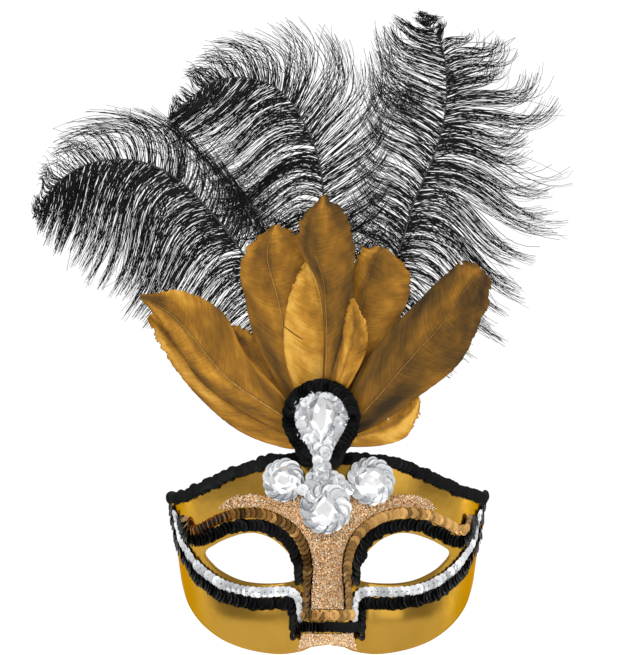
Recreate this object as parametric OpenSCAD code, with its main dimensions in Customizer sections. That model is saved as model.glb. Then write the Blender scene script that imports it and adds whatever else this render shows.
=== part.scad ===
// Venetian masquerade mask: a formed half mask with sequin trims, gem rosettes,
// a gem plaque, a fan of gold feathers and three ostrich plumes.
// Millimetres. +Z up, the face of the mask looks along -Y.
// Origin: inner face of the nose bridge, on the eye line.

/* [Mask shell] */
// Width of the mask across the temples
mask_w = 176; // [146:1:212]
// Height of the mask from the cheek edge to the brow edge
mask_h = 110; // [91:1:132]
// Depth of the mask from the brow to the temple edges
mask_d = 62; // [51:1:75]
// Wall of the formed plastic shell
wall = 1.0; // [0.8:0.1:1.4]
// How far the nose tip stands out of the face curve
nose_h = 20; // [14:1:25]
// How far the eye sockets are set back
socket_d = 4; // [0:0.5:6]
// How far the cheeks swell outward
cheek_h = 2.5; // [0:0.5:4]

/* [Sequin trims] */
// Width of a strip of overlapping sequins
sequin_w = 6; // [5:0.25:7.25]
// Thickness of a strip of overlapping sequins
sequin_t = 1.2; // [0.8:0.1:1.6]
// Glue line between the shell and what is stuck on it
glue_gap = 0.4; // [0.3:0.05:0.6]
// Gap between neighbouring strips
strip_gap = 0.4; // [0.2:0.1:0.8]
// Thickness of the glitter film
glitter_t = 0.5; // [0.4:0.1:0.8]

/* [Rosettes] */
// Radius of the rosette on the left of the forehead
rosette_left_r = 12; // [10:0.5:14.5]
// Radius of the rosette on the right of the forehead
rosette_right_r = 13.5; // [11:0.25:16.25]
// Radius of the rosette over the nose bridge
rosette_low_r = 14.5; // [12:0.25:17.5]
// Width of the sequin ring round each gem
rosette_ring_w = 4; // [3:0.5:5]
// How far a rosette gem stands out of its ring
rosette_gem_h = 3.2; // [2:0.2:4.5]

/* [Plaque] */
// Radius of the plaque's round head, over its black border
plaque_r = 21.8; // [18:0.2:26.2]
// Width of the plaque's black sequin border
border_w = 7; // [5.5:0.1:8.4]
// Width of the silver stem that joins the plaque to the mask
stem_w = 8.6; // [7:0.2:10.4]
// Sideways place of the plaque from the middle of the mask
plaque_x = -3.5; // [-6:0.5:6]
// Width of the plaque's gem
plaque_gem_w = 16; // [12:0.5:18]
// Height of the plaque's gem
plaque_gem_h = 26; // [20:0.5:28]
// Thickness of the plaque's card
card_t = 1.5; // [1:0.1:2]

/* [Gold feathers] */
// Height of the tallest gold feather above the feather root
gold_h = 136; // [113:1:164]
// Thickness of a gold feather
gold_t = 0.4; // [0.3:0.05:0.5]

/* [Ostrich plumes] */
// Height of the tallest plume above the feather root
plume_h = 238; // [198:1:286]
// Diameter of a quill at its root
quill_d = 2; // [1.6:0.1:2.6]
// Thickness of the mat of barbs beside a quill
barb_t = 1.4; // [1:0.1:1.8]

/* [Elastic eyelets] */
// Bore radius of an eyelet, for the elastic
eyelet_r = 1.6; // [1.2:0.1:2]
// Width of the tab that holds an eyelet
tab_w = 12; // [10:0.1:14.4]

/* [Hidden] */
GOLD = ["gold_feather_curl", "gold_feather_tall", "gold_feather_far_left", "gold_feather_far_right",
    "gold_feather_front", "gold_feather_low_right", "gold_feather_mid_left", "gold_feather_mid_right",
    "gold_feather_short_left", "gold_feather_low_left"];

// The outlines below are drawn on a mask 176 wide and 110 high and scaled to the sizes above
scale_x = mask_w / 176;
scale_z = mask_h / 110;
// Plan angle at the temple edge, and the depth radius that gives the mask's depth there
edge_angle = 82;
depth_r = mask_d / (1 - cos(edge_angle));
// Nose relief: where it starts and ends in height, and its half width
nose_start_z = 28 * scale_z;
nose_tip_z = -38 * scale_z;
nose_half_w = 24 * scale_x;
// Grid of the shell: steps from the eye to the edge, and steps along one curve span
shell_rings = 8;
span_steps = 3;
trim_steps = 3;
mid_step = 0.01;
pitch = sequin_w + strip_gap;
trim_top = glue_gap + sequin_t;
gem_sides = 16;
round_fn = 64;

// Eye hole, right side, as [plan angle, height], anticlockwise from the nose side
EYE = [[11.6, -8.5], [13.8, -11.9], [20, -13.2], [28, -13.3], [35, -12], [42, -8.8], [49, -3.8], [54, 3.2],
    [47.5, 8], [40, 11.8], [33, 14.4], [27, 14.6], [21.5, 12], [17, 7.2], [13.6, 1], [12, -4]];
// Middle of the eye hole, from which the shell's grid spreads
EYE_MID = [29, 1];
// Edge of the right half, as [plan angle, height]: up the middle, over the brow, down the temple
MID_LOW = -46.5;
MID_TOP = 58;
TOP_EDGE = [[0, 58], [12, 58], [20, 57], [27, 54], [36, 49.4], [46, 44.4], [58, 38.9], [70, 36.6],
    [79, 36]];
SIDE_EDGE = [[82, 33.5], [82, 22], [82, 9], [82, -4]];
LOW_EDGE = [[81, -13], [75, -24], [65, -33.4], [55, -40.6], [45, -46], [33, -50], [21, -51.8],
    [12, -50.4], [7, -47.6]];

// Plan angle at a distance from the temple edge, near that edge
function from_edge(d) = edge_angle - d / (depth_r * PI / 180);
// The strips stack in from the temple edge: black, silver, black, copper
EDGE_GAP = 0.5;
silver_edge = from_edge(1.5 * sequin_w + strip_gap + EDGE_GAP);
lid_edge = from_edge(2.5 * sequin_w + 2 * strip_gap + EDGE_GAP + 1);
// Plan angle of the silver strip beside the nose
SILVER_NOSE = 10.2;
// Middle of the silver strip under the right eye, from the temple to the nose
SILVER = [[silver_edge, 24], [silver_edge - 0.6, 17], [silver_edge - 3.5, 9.6], [65.5, 3.4], [58, -4.6],
    [49.5, -11], [41, -15.4], [33.5, -17.6], [26.5, -18.2], [20, -17.8], [15.4, -17.6], [12.2, -18.8],
    [10.6, -22], [SILVER_NOSE, -27]];
// Middle of the black strip over the right eye, from the temple to the nose
LID = [[lid_edge, 21], [lid_edge - 1, 15.5], [lid_edge - 4, 11], [59, 9.4], [55, 10], [51, 11.8],
    [43.5, 15.6], [36, 18.6], [29, 19.4], [22, 17.6], [16.4, 12.8], [12.6, 6], [10.6, -2],
    [10, -11.4]];
// Upper edge of the glitter wing, right side, from the middle of the forehead to the wing's tip
WING = [[0, 40], [8, 39], [16, 36], [23, 35.2], [29.5, 36], [36, 34.4], [40.5, 31], [43, 27.8]];
// Heights of the copper strip and the black strip across the nose
nose_copper_z = -30.2 * scale_z;
nose_black_z = nose_copper_z - sequin_w - strip_gap;

function smooth(s) = let (c = max(0, min(1, s))) c * c * (3 - 2 * c);
function unit(v) = v / norm(v);
function mix(a, b, s) = a + (b - a) * s;
function flip(p) = [-p[0], p[1]];
function reversed(list) = [for (i = [len(list) - 1:-1:0]) list[i]];

// Smooth curve through points, with the given steps in each span
function spline_at(a, b, c, d, s) =
    (2 * b + (c - a) * s + (2 * a - 5 * b + 4 * c - d) * s * s + (3 * b - a - 3 * c + d) * s * s * s) / 2;
function curve(p, steps) = let (n = len(p)) [
    for (i = [0:n - 2]) for (k = [0:steps - 1])
        spline_at(i > 0 ? p[i - 1] : 2 * p[0] - p[1], p[i], p[i + 1],
            i < n - 2 ? p[i + 2] : 2 * p[n - 1] - p[n - 2], k / steps),
    p[n - 1]];
function loop_curve(p, steps) = let (n = len(p)) [
    for (i = [0:n - 1]) for (k = [0:steps - 1])
        spline_at(p[(i + n - 1) % n], p[i], p[(i + 1) % n], p[(i + 2) % n], k / steps)];

// ---- Face surface. A place on it is [plan angle in degrees, height in mm] ----
function half_w(z) = (83.8 + 0.125 * z / scale_z) * scale_x;
function nose(x, z) = let (
    rise = smooth((nose_start_z - z) / (nose_start_z - nose_tip_z)),
    tuck = 3 * pow(max(0, nose_tip_z - z) / (9 * scale_z), 2),
    across = pow(min(1, abs(x) / nose_half_w), 1.15))
    (nose_h * rise - tuck) * (1 + cos(180 * across)) / 2;
function bump(x, z, mid_x, mid_z, wide, high) =
    exp(-pow((abs(x) / scale_x - mid_x) / wide, 2) - pow((z / scale_z - mid_z) / high, 2));
function lean(z) = 0.0015 * pow(max(0, z / scale_z - 10), 2);
function relief(x, z) = lean(z) - nose(x, z) + socket_d * bump(x, z, 44, 0, 26, 20)
    - cheek_h * bump(x, z, 44, -34, 20, 12);
face_y = -wall - relief(0, 0);
function on_face(p) = let (x = half_w(p[1]) * sin(p[0]))
    [x, face_y + depth_r * (1 - cos(p[0])) + relief(x, p[1]), p[1]];
function slope_t(p) = (on_face(p + [0.2, 0]) - on_face(p - [0.2, 0])) / 0.4;
function slope_z(p) = (on_face(p + [0, 0.2]) - on_face(p - [0, 0.2])) / 0.4;
function out_dir(p) = unit(cross(slope_t(p), slope_z(p)));
// Point at a height above the outer face
function lifted(p, h) = on_face(p) + out_dir(p) * h;
// Place at a true distance sideways from a path, to the left of its direction
function beside(p, dir, d) = let (
    st = norm(slope_t(p)),
    sz = norm(slope_z(p)),
    along = norm([dir[0] * st, dir[1] * sz]))
    p + [-dir[1] * sz / st, dir[0] * st / sz] * d / along;
function direction(path, i) = path[min(i + 1, len(path) - 1)] - path[max(i - 1, 0)];
function shifted(path, d) = [for (i = [0:len(path) - 1]) beside(path[i], direction(path, i), d)];
function to_size(list) = [for (p = list) [p[0], p[1] * scale_z]];

// ---- Solids from grids of points ----
// Closed solid between a front grid and a back grid of rows of points
module slab(front, back) {
    rows = len(front);
    cols = len(front[0]);
    count = rows * cols;
    function f(i, j) = i * cols + j;
    function b(i, j) = count + i * cols + j;
    polyhedron(
        points = [for (row = front) each row, for (row = back) each row],
        faces = [
            for (i = [0:rows - 2]) for (j = [0:cols - 2]) each [
                [f(i, j), f(i + 1, j), f(i + 1, j + 1)], [f(i, j), f(i + 1, j + 1), f(i, j + 1)],
                [b(i, j), b(i + 1, j + 1), b(i + 1, j)], [b(i, j), b(i, j + 1), b(i + 1, j + 1)]],
            for (i = [0:rows - 2]) each [
                [f(i, 0), b(i + 1, 0), f(i + 1, 0)], [f(i, 0), b(i, 0), b(i + 1, 0)],
                [f(i, cols - 1), f(i + 1, cols - 1), b(i + 1, cols - 1)],
                [f(i, cols - 1), b(i + 1, cols - 1), b(i, cols - 1)]],
            for (j = [0:cols - 2]) each [
                [f(0, j), f(0, j + 1), b(0, j + 1)], [f(0, j), b(0, j + 1), b(0, j)],
                [f(rows - 1, j), b(rows - 1, j + 1), f(rows - 1, j + 1)],
                [f(rows - 1, j), b(rows - 1, j), b(rows - 1, j + 1)]]]);
}

// Patch that follows the face between two heights above it; places run in rows
module face_patch(places, low, high) {
    slab([for (row = places) [for (p = row) lifted(p, high)]],
        [for (row = places) [for (p = row) lifted(p, low)]]);
}

// Strip of sequins along a path on the right half of the face
module strip(path) {
    edge = sequin_w / 2;
    left = shifted(path, edge);
    right = shifted(path, -edge);
    face_patch([for (i = [0:len(path) - 1]) [left[i], path[i], right[i]]], glue_gap, trim_top);
}

// The same piece on the other half
module left_side() {
    mirror([1, 0, 0]) children();
}

// ---- Mask shell ----
eye_loop = loop_curve(to_size(EYE), 2);
function angle_from_eye(p) = atan2(p[1] - EYE_MID[1] * scale_z, (p[0] - EYE_MID[0]) * scale_x);
function reach_from_eye(p) = norm([(p[0] - EYE_MID[0]) * scale_x, p[1] - EYE_MID[1] * scale_z]);
eye_count = len(eye_loop);
eye_table = [
    [angle_from_eye(eye_loop[eye_count - 1]) - 360, reach_from_eye(eye_loop[eye_count - 1])],
    for (p = eye_loop) [angle_from_eye(p), reach_from_eye(p)],
    [angle_from_eye(eye_loop[0]) + 360, reach_from_eye(eye_loop[0])]];
// Edge of the right half as one loop, anticlockwise from the low end of the middle line
mid_steps = 22;
top_curve = curve(to_size(TOP_EDGE), 2);
half_edge = concat(
    reversed(curve(to_size(LOW_EDGE), 2)),
    curve(to_size(reversed(SIDE_EDGE)), 1),
    reversed([for (i = [1:len(top_curve) - 1]) top_curve[i]]),
    [for (i = [0:mid_steps]) [0, mix(MID_TOP, MID_LOW, i / mid_steps) * scale_z]]);
edge_count = len(half_edge);
function on_middle(j) = half_edge[j % edge_count][0] == 0;
function eye_place(p) = let (a = angle_from_eye(p), r = lookup(a, eye_table))
    [EYE_MID[0] + r * cos(a) / scale_x, EYE_MID[1] * scale_z + r * sin(a)];
shell_places = [for (i = [0:shell_rings]) [for (p = half_edge) mix(eye_place(p), p, i / shell_rings)]];

// Point on the inner face, kept on the middle plane where the outer point is
function in_wall(p) = let (q = lifted(p, -wall)) (p[0] == 0 ? [0, q[1], q[2]] : q);
module mask_shell() {
    layer = (shell_rings + 1) * edge_count;
    outer = [for (row = shell_places) for (p = row) on_face(p)];
    inner = [for (row = shell_places) for (p = row) in_wall(p)];
    right = concat(outer, inner);
    // Number of a point: side 0 is the right half, depth 0 is the outer face.
    // Both halves share the points of the middle line.
    function at(side, depth, i, j) = let (
        col = j % edge_count,
        shared = i == shell_rings && on_middle(col),
        start = side == 1 && !shared ? 2 * layer : 0)
        start + depth * layer + i * edge_count + col;
    function quad(side, a, b, c, d) = side == 0 ? [[a, b, c], [a, c, d]] : [[a, c, b], [a, d, c]];
    function cell(side, depth, i, j) = let (
        a = at(side, depth, i, j),
        b = at(side, depth, i, j + 1),
        c = at(side, depth, i + 1, j + 1),
        d = at(side, depth, i + 1, j))
        depth == 0 ? quad(side, a, b, c, d) : quad(side, a, d, c, b);
    function rim(side, i, j) = let (
        a = at(side, 0, i, j),
        b = at(side, 1, i, j),
        c = at(side, 1, i, j + 1),
        d = at(side, 0, i, j + 1))
        i == 0 ? quad(side, a, b, c, d) : quad(side, a, d, c, b);
    color("goldenrod") polyhedron(
        points = concat(right, [for (p = right) [-p[0], p[1], p[2]]]),
        faces = [for (side = [0, 1]) each [
            for (depth = [0, 1]) for (i = [0:shell_rings - 1]) for (j = [0:edge_count - 1])
                each cell(side, depth, i, j),
            for (j = [0:edge_count - 1]) each concat(
                rim(side, 0, j),
                on_middle(j) && on_middle(j + 1) ? [] : rim(side, shell_rings, j))]]);
}

// ---- Strips of sequins, right side ----
half_strip = sequin_w / 2 + strip_gap;
// Place beside the silver strip's line down the nose, outward where d is above 0
function nose_side(z, d) = beside([SILVER_NOSE, z], [0, -1], d);
silver_path = curve(concat(to_size(SILVER), [[SILVER_NOSE, nose_black_z + half_strip]]), trim_steps);
lid_path = curve(to_size(LID), trim_steps);
copper_path = curve(concat(
    [for (i = [0:trim_steps:len(lid_path) - 1]) beside(lid_path[i], direction(lid_path, i), -pitch)],
    [nose_side(-18 * scale_z, -pitch), nose_side(nose_copper_z + half_strip, -pitch)]), trim_steps);
// The brow strip lies just inside the brow edge
BROW_INSET = 0.3;
top_path = [for (p = curve(to_size(TOP_EDGE), trim_steps)) if (p[0] <= 79)
    [max(p[0], mid_step), p[1] - sequin_w / 2 - BROW_INSET]];
// The outer strip starts under the brow strip, runs a pitch outside the silver strip and ends past
// the black strip across the nose
outer_low = shifted(silver_path, pitch);
outer_top = top_path[len(top_path) - 1][1] - sequin_w / 2 - strip_gap - EDGE_GAP;
NOSE_PAST = 1.6;
nose_foot = nose_black_z - sequin_w / 2 - NOSE_PAST;
nose_turn = nose_black_z + half_strip;
outer_path = concat([[outer_low[0][0], outer_top]], outer_low,
    [nose_side((nose_turn + nose_foot) / 2, pitch), nose_side(nose_foot, pitch)]);

module top_trim() color("#181818") strip(top_path);
module outer_trim() color("#181818") strip(outer_path);
module silver_trim() color("silver") strip(silver_path);
module lid_trim() color("#181818") strip(lid_path);
module copper_trim() color("#b07a45") strip(copper_path);

// Strip straight across the nose, between lines at a distance d from the silver strips' middle lines
module nose_strip(z, d) {
    reach = min([for (s = [-1:1]) nose_side(z + s * sequin_w / 2, d)[0]]);
    strip([for (k = [-6:6]) [reach * k / 6, z]]);
}
module nose_copper_trim() color("#b07a45") nose_strip(nose_copper_z, -half_strip);
module nose_black_trim() color("#181818") nose_strip(nose_black_z, pitch - half_strip);

// ---- Glitter ----
film_low = glue_gap;
film_high = glue_gap + glitter_t;
film_side = shifted(copper_path, -half_strip);
module glitter_half() {
    wing_end = WING[len(WING) - 1][0];
    rise = [for (p = reversed(film_side)) if (p[0] <= wing_end) p];
    column = [for (s = [0:9]) [mid_step, mix(rise[0][1], WING[0][1] * scale_z, s / 9)]];
    wing = curve(to_size(WING), 4);
    inside = concat(column, [for (i = [1:len(wing) - 1]) wing[i]]);
    rows = 30;
    function along(list, s) = let (k = s * (len(list) - 1), i = min(floor(k), len(list) - 2))
        mix(list[i], list[i + 1], k - i);
    face_patch([for (i = [0:rows]) let (a = along(inside, i / rows), b = along(rise, i / rows))
        [for (k = [0:4]) mix(a, b, k / 4)]], film_low, film_high);
}
module glitter_film() color("#d2b493") {
    glitter_half();
    left_side() glitter_half();
}
// Lower edge of the glitter at the nose tip, as [plan angle, height], and its steps in plan angle
TIP_EDGE = [[0, -46], [7, -47.1], [12, -49.9]];
TIP_LOW_STEP = 2;
TIP_TOP_STEP = 1.6;
module nose_tip_glitter() color("#d2b493") {
    top = nose_black_z - half_strip;
    face_patch([for (k = [-6:6]) [for (s = [0:3]) let (t = k * mix(TIP_LOW_STEP, TIP_TOP_STEP, s / 3))
        [t, mix(lookup(abs(t), TIP_EDGE) * scale_z, top, s / 3)]]], film_low, film_high);
}

// ---- Rosettes ----
LOW_AT = [-1.2, 28 * scale_z];
// Directions of the upper rosettes from the low one
LEFT_ANGLE = 145;
RIGHT_ANGLE = 32;
ROSETTE_GAP = 0.5;
SEAT_GAP = 0.3;
// How far the outer edge of a ring lifts off its felt
RING_LIFT = 0.3;
felt_t = 1.2;
ring_t = 1.6;
function polar(mid, r, a) = mid + r * [cos(a), sin(a)];
left_at = polar(LOW_AT, rosette_low_r + rosette_left_r + ROSETTE_GAP, LEFT_ANGLE);
right_at = polar(LOW_AT, rosette_low_r + rosette_right_r + ROSETTE_GAP, RIGHT_ANGLE);
function place_of(x, z) = [asin(x / half_w(z)), z];
function face_at(x, z) = on_face(place_of(x, z));
// A rosette faces along the middle of its patch of the face, and seats on the proudest point under it
function seat_dir(at, r) = unit(cross(face_at(at[0] + r, at[1]) - face_at(at[0] - r, at[1]),
    face_at(at[0], at[1] + r) - face_at(at[0], at[1] - r)));
function seat_lift(at, r) = let (dir = seat_dir(at, r), mid = face_at(at[0], at[1]))
    max([for (s = [0:0.25:1]) for (a = [0:15:345])
        let (p = polar(at, r * s, a)) (face_at(p[0], p[1]) - mid) * dir]);
module on_seat(at, r) {
    dir = seat_dir(at, r);
    base = face_at(at[0], at[1]) + dir * (seat_lift(at, r) + trim_top + SEAT_GAP);
    translate(base) rotate([0, 0, atan2(dir[0], -dir[1])]) rotate([90 - asin(dir[2]), 0, 0]) children();
}
// Heights and widths of a cut gem: its girdle, and its flat top
GIRDLE_SHARE = 0.35;
TABLE_SHARE = 0.62;
module rosette_felt(at, r) color("#303030") on_seat(at, r)
    cylinder(r = r - 1, h = felt_t, $fn = round_fn);
module rosette_ring(at, r) color("silver") on_seat(at, r) rotate_extrude($fn = round_fn)
    polygon([[r - rosette_ring_w, felt_t], [r, felt_t + RING_LIFT], [r, felt_t + ring_t],
        [r - rosette_ring_w, felt_t + ring_t]]);
module round_gem(at, r) color("white") on_seat(at, r) {
    girdle = r - rosette_ring_w - 0.2;
    translate([0, 0, felt_t]) rotate_extrude($fn = round_fn)
        polygon([[0, 0], [girdle, 0], [girdle, ring_t], [girdle * TABLE_SHARE, ring_t + rosette_gem_h],
            [0, ring_t + rosette_gem_h]]);
}

// Teardrop outline with its point up
function teardrop(w, h, n) = [for (i = [0:n - 1]) let (a = 360 * (i + 0.5) / n)
    [w / 2 * sin(a) * sin(a / 2) / 0.77, h / 2 * cos(a)]];
// Cut gem on a teardrop outline, standing on z = 0
module drop_gem(w, h, tall) {
    n = gem_sides;
    base = teardrop(w, h, n);
    function ring(s, z) = [for (p = base) [p[0] * s, p[1] * s, z]];
    rows = [ring(1, 0), ring(1, tall * GIRDLE_SHARE), ring(TABLE_SHARE, tall)];
    polyhedron(points = [for (row = rows) each row],
        faces = [
            [for (i = [0:n - 1]) i],
            [for (i = [n - 1:-1:0]) 2 * n + i],
            for (k = [0:1]) for (i = [0:n - 1]) let (j = (i + 1) % n) each [
                [k * n + i, (k + 1) * n + i, (k + 1) * n + j], [k * n + i, (k + 1) * n + j, k * n + j]]]);
}
module rosette_low_gem() color("white") on_seat(LOW_AT, rosette_low_r) {
    tall = 2 * (rosette_low_r - rosette_ring_w - 0.4);
    translate([0, 0, felt_t]) drop_gem(tall * 0.87, tall, ring_t + rosette_gem_h);
}

// ---- Plaque, in a plane that faces -Y ----
// Height of the flexible neck, where the plaque nods, and of the plaque's middle above it
neck_z = 56 * scale_z;
plaque_z = neck_z + 22;
brow_y = face_at(0, neck_z)[1] - trim_top;
// Back of the card: in front of the brow trim, with room to nod
plaque_back = brow_y - 4.5;
card_front = plaque_back - card_t;
border_t = 1.8;
field_t = 0.8;
plaque_gem_t = 4.2;
// How far the plaque gem sits below the middle of the plaque
GEM_DROP = 2;
NECK_GAP = 0.5;
SIDE_GAP = 0.3;
// Middle line of the border: right lobe, shoulder, head, and the same on the left
border_r = plaque_r - border_w / 2;
lobe_x = stem_w / 2 + SIDE_GAP + border_w / 2;
border_right = [[lobe_x, -24], [lobe_x + 2.2, -18], [border_r * 0.8, -10.5],
    for (a = [-15:15:75]) border_r * [cos(a), sin(a)]];
border_path = curve(concat(border_right, [[0, border_r]], reversed([for (p = border_right) flip(p)])), 2);
function flat_shift(path, d) = [for (i = [0:len(path) - 1]) let (t = unit(direction(path, i)))
    path[i] + [-t[1], t[0]] * d];
border_outer = flat_shift(border_path, -border_w / 2);
border_inner = flat_shift(border_path, border_w / 2);
module in_plaque(y) translate([plaque_x, y, plaque_z]) rotate([90, 0, 0]) children();
module plaque_card() color("#303030") in_plaque(plaque_back) linear_extrude(card_t)
    polygon([for (p = flat_shift(border_path, -border_w / 2 + 0.6)) if (p[1] > -21) p]);
module plaque_border() color("#181818") in_plaque(card_front) linear_extrude(border_t)
    polygon(concat(border_outer, reversed(border_inner)));
field_low = neck_z + NECK_GAP - plaque_z;
module plaque_field() color("silver") in_plaque(card_front) linear_extrude(field_t)
    polygon([for (p = flat_shift(border_path, border_w / 2 + SIDE_GAP)) if (p[1] > field_low) p]);
module plaque_gem() color("white") in_plaque(card_front - field_t) translate([0, -GEM_DROP, 0])
    rotate([0, 0, 180])
    drop_gem(plaque_gem_w, plaque_gem_h, plaque_gem_t);

// ---- Stem between the plaque and the rosettes, fixed to the brow ----
tail_low = LOW_AT[1] + rosette_low_r + ROSETTE_GAP;
tail_high = neck_z - NECK_GAP;
pad_high = min(tail_high, 51 * scale_z);
module stem_tail() color("silver") translate([plaque_x - stem_w / 2, card_front - field_t, tail_low])
    cube([stem_w, field_t, tail_high - tail_low]);
module stem_pad() color("#303030") {
    pad_w = stem_w - 1;
    back = face_at(plaque_x, tail_low)[1] - film_high - 0.2;
    pad_low = tail_low + ROSETTE_GAP;
    translate([plaque_x - pad_w / 2, card_front, pad_low]) cube([pad_w, back - card_front,
        pad_high - pad_low]);
}

// ---- Tabs and eyelets for the elastic, right side ----
tab_t = 1.2;
eyelet_wall = 0.5;
flange_w = 1.3;
flange_t = 0.4;
EYELET_PLAY = 0.02;
tab_z = 20 * scale_z;
tab_reach = tab_w / 2 + 1.5;
tab_from = lifted([edge_angle - 8, tab_z], -wall - glue_gap);
tab_edge = lifted([edge_angle, tab_z], -wall - glue_gap);
tab_run = norm([tab_edge[0] - tab_from[0], tab_edge[1] - tab_from[1]]);
tab_turn = atan2(tab_edge[1] - tab_from[1], tab_edge[0] - tab_from[0]);
// The temple leans outward with height, and the tab leans with it
tab_lean = -asin(unit(slope_z([edge_angle - 4, tab_z])) * [-sin(tab_turn), cos(tab_turn), 0]);
module on_tab() translate(tab_from) rotate([0, 0, tab_turn]) rotate([tab_lean, 0, 0]) children();
module at_eyelet() translate([tab_run + tab_reach, 0, 0]) rotate([-90, 0, 0]) children();
module temple_tab() color("goldenrod") on_tab() difference() {
    union() {
        translate([0, 0, -tab_w / 2]) cube([tab_run + tab_reach, tab_t, tab_w]);
        at_eyelet() cylinder(r = tab_w / 2, h = tab_t, $fn = round_fn);
    }
    at_eyelet() translate([0, 0, -1]) cylinder(r = eyelet_r + eyelet_wall + EYELET_PLAY, h = tab_t + 2,
        $fn = round_fn);
}
module eyelet() color("gold") on_tab() at_eyelet() rotate_extrude($fn = round_fn)
    polygon([[eyelet_r, -flange_t], [eyelet_r + eyelet_wall + flange_w, -flange_t],
        [eyelet_r + eyelet_wall + flange_w, -EYELET_PLAY], [eyelet_r + eyelet_wall, -EYELET_PLAY],
        [eyelet_r + eyelet_wall, tab_t + EYELET_PLAY], [eyelet_r + eyelet_wall + flange_w,
            tab_t + EYELET_PLAY],
        [eyelet_r + eyelet_wall + flange_w, tab_t + flange_t], [eyelet_r, tab_t + flange_t]]);

// ---- Feathers. Outlines are [x, z] from the feather root, at the drawn heights below ----
root_z = neck_z + 8;
root_r = 3;
LAYER_GAP = 0.15;
gold_pitch = gold_t + LAYER_GAP;
gold_first = plaque_back + 0.3;
quill_first = gold_first + len(GOLD) * gold_pitch + quill_d / 2 + 0.4;
quill_pitch = quill_d + 0.5;
FELT_R = 10;
felt_rise = 9;
felt_front = quill_first + 2 * quill_pitch + quill_d / 2 + bow([0, FELT_R + felt_rise]) + 0.4;
// All feathers share this bow: back from the root, then forward at the tips
function bow(p) = let (r = norm(p)) 0.16 * r - 0.0009 * r * r;
function hung(p, y) = [plaque_x + p[0], y + bow(p), root_z + p[1]];
// Rows across a vane between two edge curves
function vane_rows(a, b, y, cols) = [for (i = [0:len(a) - 1]) [for (k = [0:cols]) hung(mix(a[i], b[i],
    k / cols), y)]];
module vane(a, b, y, thick, cols) {
    slab(vane_rows(a, b, y - thick / 2, cols), vane_rows(a, b, y + thick / 2, cols));
}

// One row for each gold feather: left edge and right edge, from the root to the tip
GOLD_EDGES = [
    [[[-1, 8], [3, 26], [7, 42], [11, 56], [13, 68], [16, 80]],
     [[4, 8], [11, 24], [19, 38], [25, 52], [25, 66], [18, 80]]],
    [[[0, 9], [1, 34], [1.5, 62], [-2, 88], [-13, 112], [-1, 136]],
     [[4, 9], [11, 34], [16, 60], [18, 88], [17, 116], [3, 137]]],
    [[[-6, 0], [-22, 6], [-44, 18], [-66, 34], [-84, 60], [-99, 79]],
     [[-4, 7], [-24, 30], [-42, 50], [-54, 72], [-76, 84], [-100, 82]]],
    [[[4, 7], [18, 34], [34, 58], [54, 79], [72, 96], [86, 99]],
     [[6, 0], [30, 10], [54, 26], [76, 44], [88, 68], [94, 91]]],
    [[[-5, 8], [-14, 28], [-20, 48], [-20, 68], [-16, 86], [-9, 100]],
     [[2, 8], [4, 28], [5, 48], [6, 66], [3, 84], [-6, 100]]],
    [[[5, 4], [16, 9], [28, 15], [38, 20], [47, 24], [54, 26]],
     [[6, -1], [20, -2], [34, -1], [46, 3], [52, 12], [55, 23]]],
    [[[-6, 7], [-22, 30], [-36, 56], [-42, 80], [-44, 100], [-27, 120]],
     [[0, 8], [-2, 30], [-3, 56], [-4, 82], [-9, 106], [-23, 121]]],
    [[[0, 8], [5, 32], [10, 56], [15, 80], [19, 101], [31, 109]],
     [[5, 7], [16, 28], [30, 48], [43, 68], [49, 88], [38, 107]]],
    [[[-6, 5], [-18, 14], [-30, 26], [-42, 40], [-49, 52], [-52, 63]],
     [[-3, 8], [-12, 24], [-20, 40], [-30, 54], [-40, 62], [-50, 65]]],
    [[[-6, -1], [-18, -3], [-44, 6], [-66, 24], [-84, 46], [-96, 69]],
     [[-5, 4], [-20, 14], [-38, 28], [-56, 44], [-74, 62], [-94, 72]]]];
GOLD_DRAWN_H = 136;
PLUME_DRAWN_H = 238;
function sized(list, k) = [for (p = list) p * k];
module gold_feather(i) color("#af8238") {
    left = curve(sized(GOLD_EDGES[i][0], gold_h / GOLD_DRAWN_H), span_steps);
    right = curve(sized(GOLD_EDGES[i][1], gold_h / GOLD_DRAWN_H), span_steps);
    vane(left, right, gold_first + i * gold_pitch + gold_t / 2, gold_t, 4);
}

// Ostrich plumes: quill, then the ends of the barbs on its left and on its right
LEFT_PLUME = [
    [[-7, 11], [-18, 42], [-30, 80], [-44, 106], [-62, 129], [-81, 147], [-103, 156], [-128, 154], [-147,
        142], [-158, 126]],
    [[-10, 14], [-30, 40], [-60, 56], [-90, 60], [-106, 66], [-114, 78], [-126, 90], [-140, 100], [-152,
        112], [-160, 124]],
    [[-6, 16], [-8, 48], [-18, 96], [-32, 124], [-50, 148], [-72, 172], [-98, 186], [-128, 182], [-148,
        166], [-160, 132]]];
CENTRE_PLUME = [
    [[0, 13], [2, 46], [3, 90], [2, 120], [0, 150], [-7, 172], [-20, 192], [-38, 201], [-60, 199], [-83,
        180]],
    [[-2, 15], [-8, 50], [-22, 88], [-40, 104], [-56, 120], [-66, 136], [-74, 150], [-80, 162], [-84,
        170], [-87, 177]],
    [[2, 15], [12, 50], [24, 96], [36, 130], [42, 168], [36, 206], [10, 226], [-28, 231], [-62, 220],
        [-86, 188]]];
RIGHT_PLUME = [
    [[6, 12], [14, 40], [28, 76], [42, 104], [52, 135], [62, 158], [68, 180], [69, 200], [66, 220], [54,
        237]],
    [[4, 14], [5, 48], [8, 84], [12, 112], [16, 142], [20, 168], [23, 192], [26, 212], [32, 229], [50,
        238]],
    [[10, 13], [36, 32], [74, 40], [96, 58], [114, 86], [130, 120], [136, 156], [131, 196], [104, 222],
        [60, 238]]];
function quill_of(plume) = curve(sized(plume[0], plume_h / PLUME_DRAWN_H), span_steps);
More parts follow.
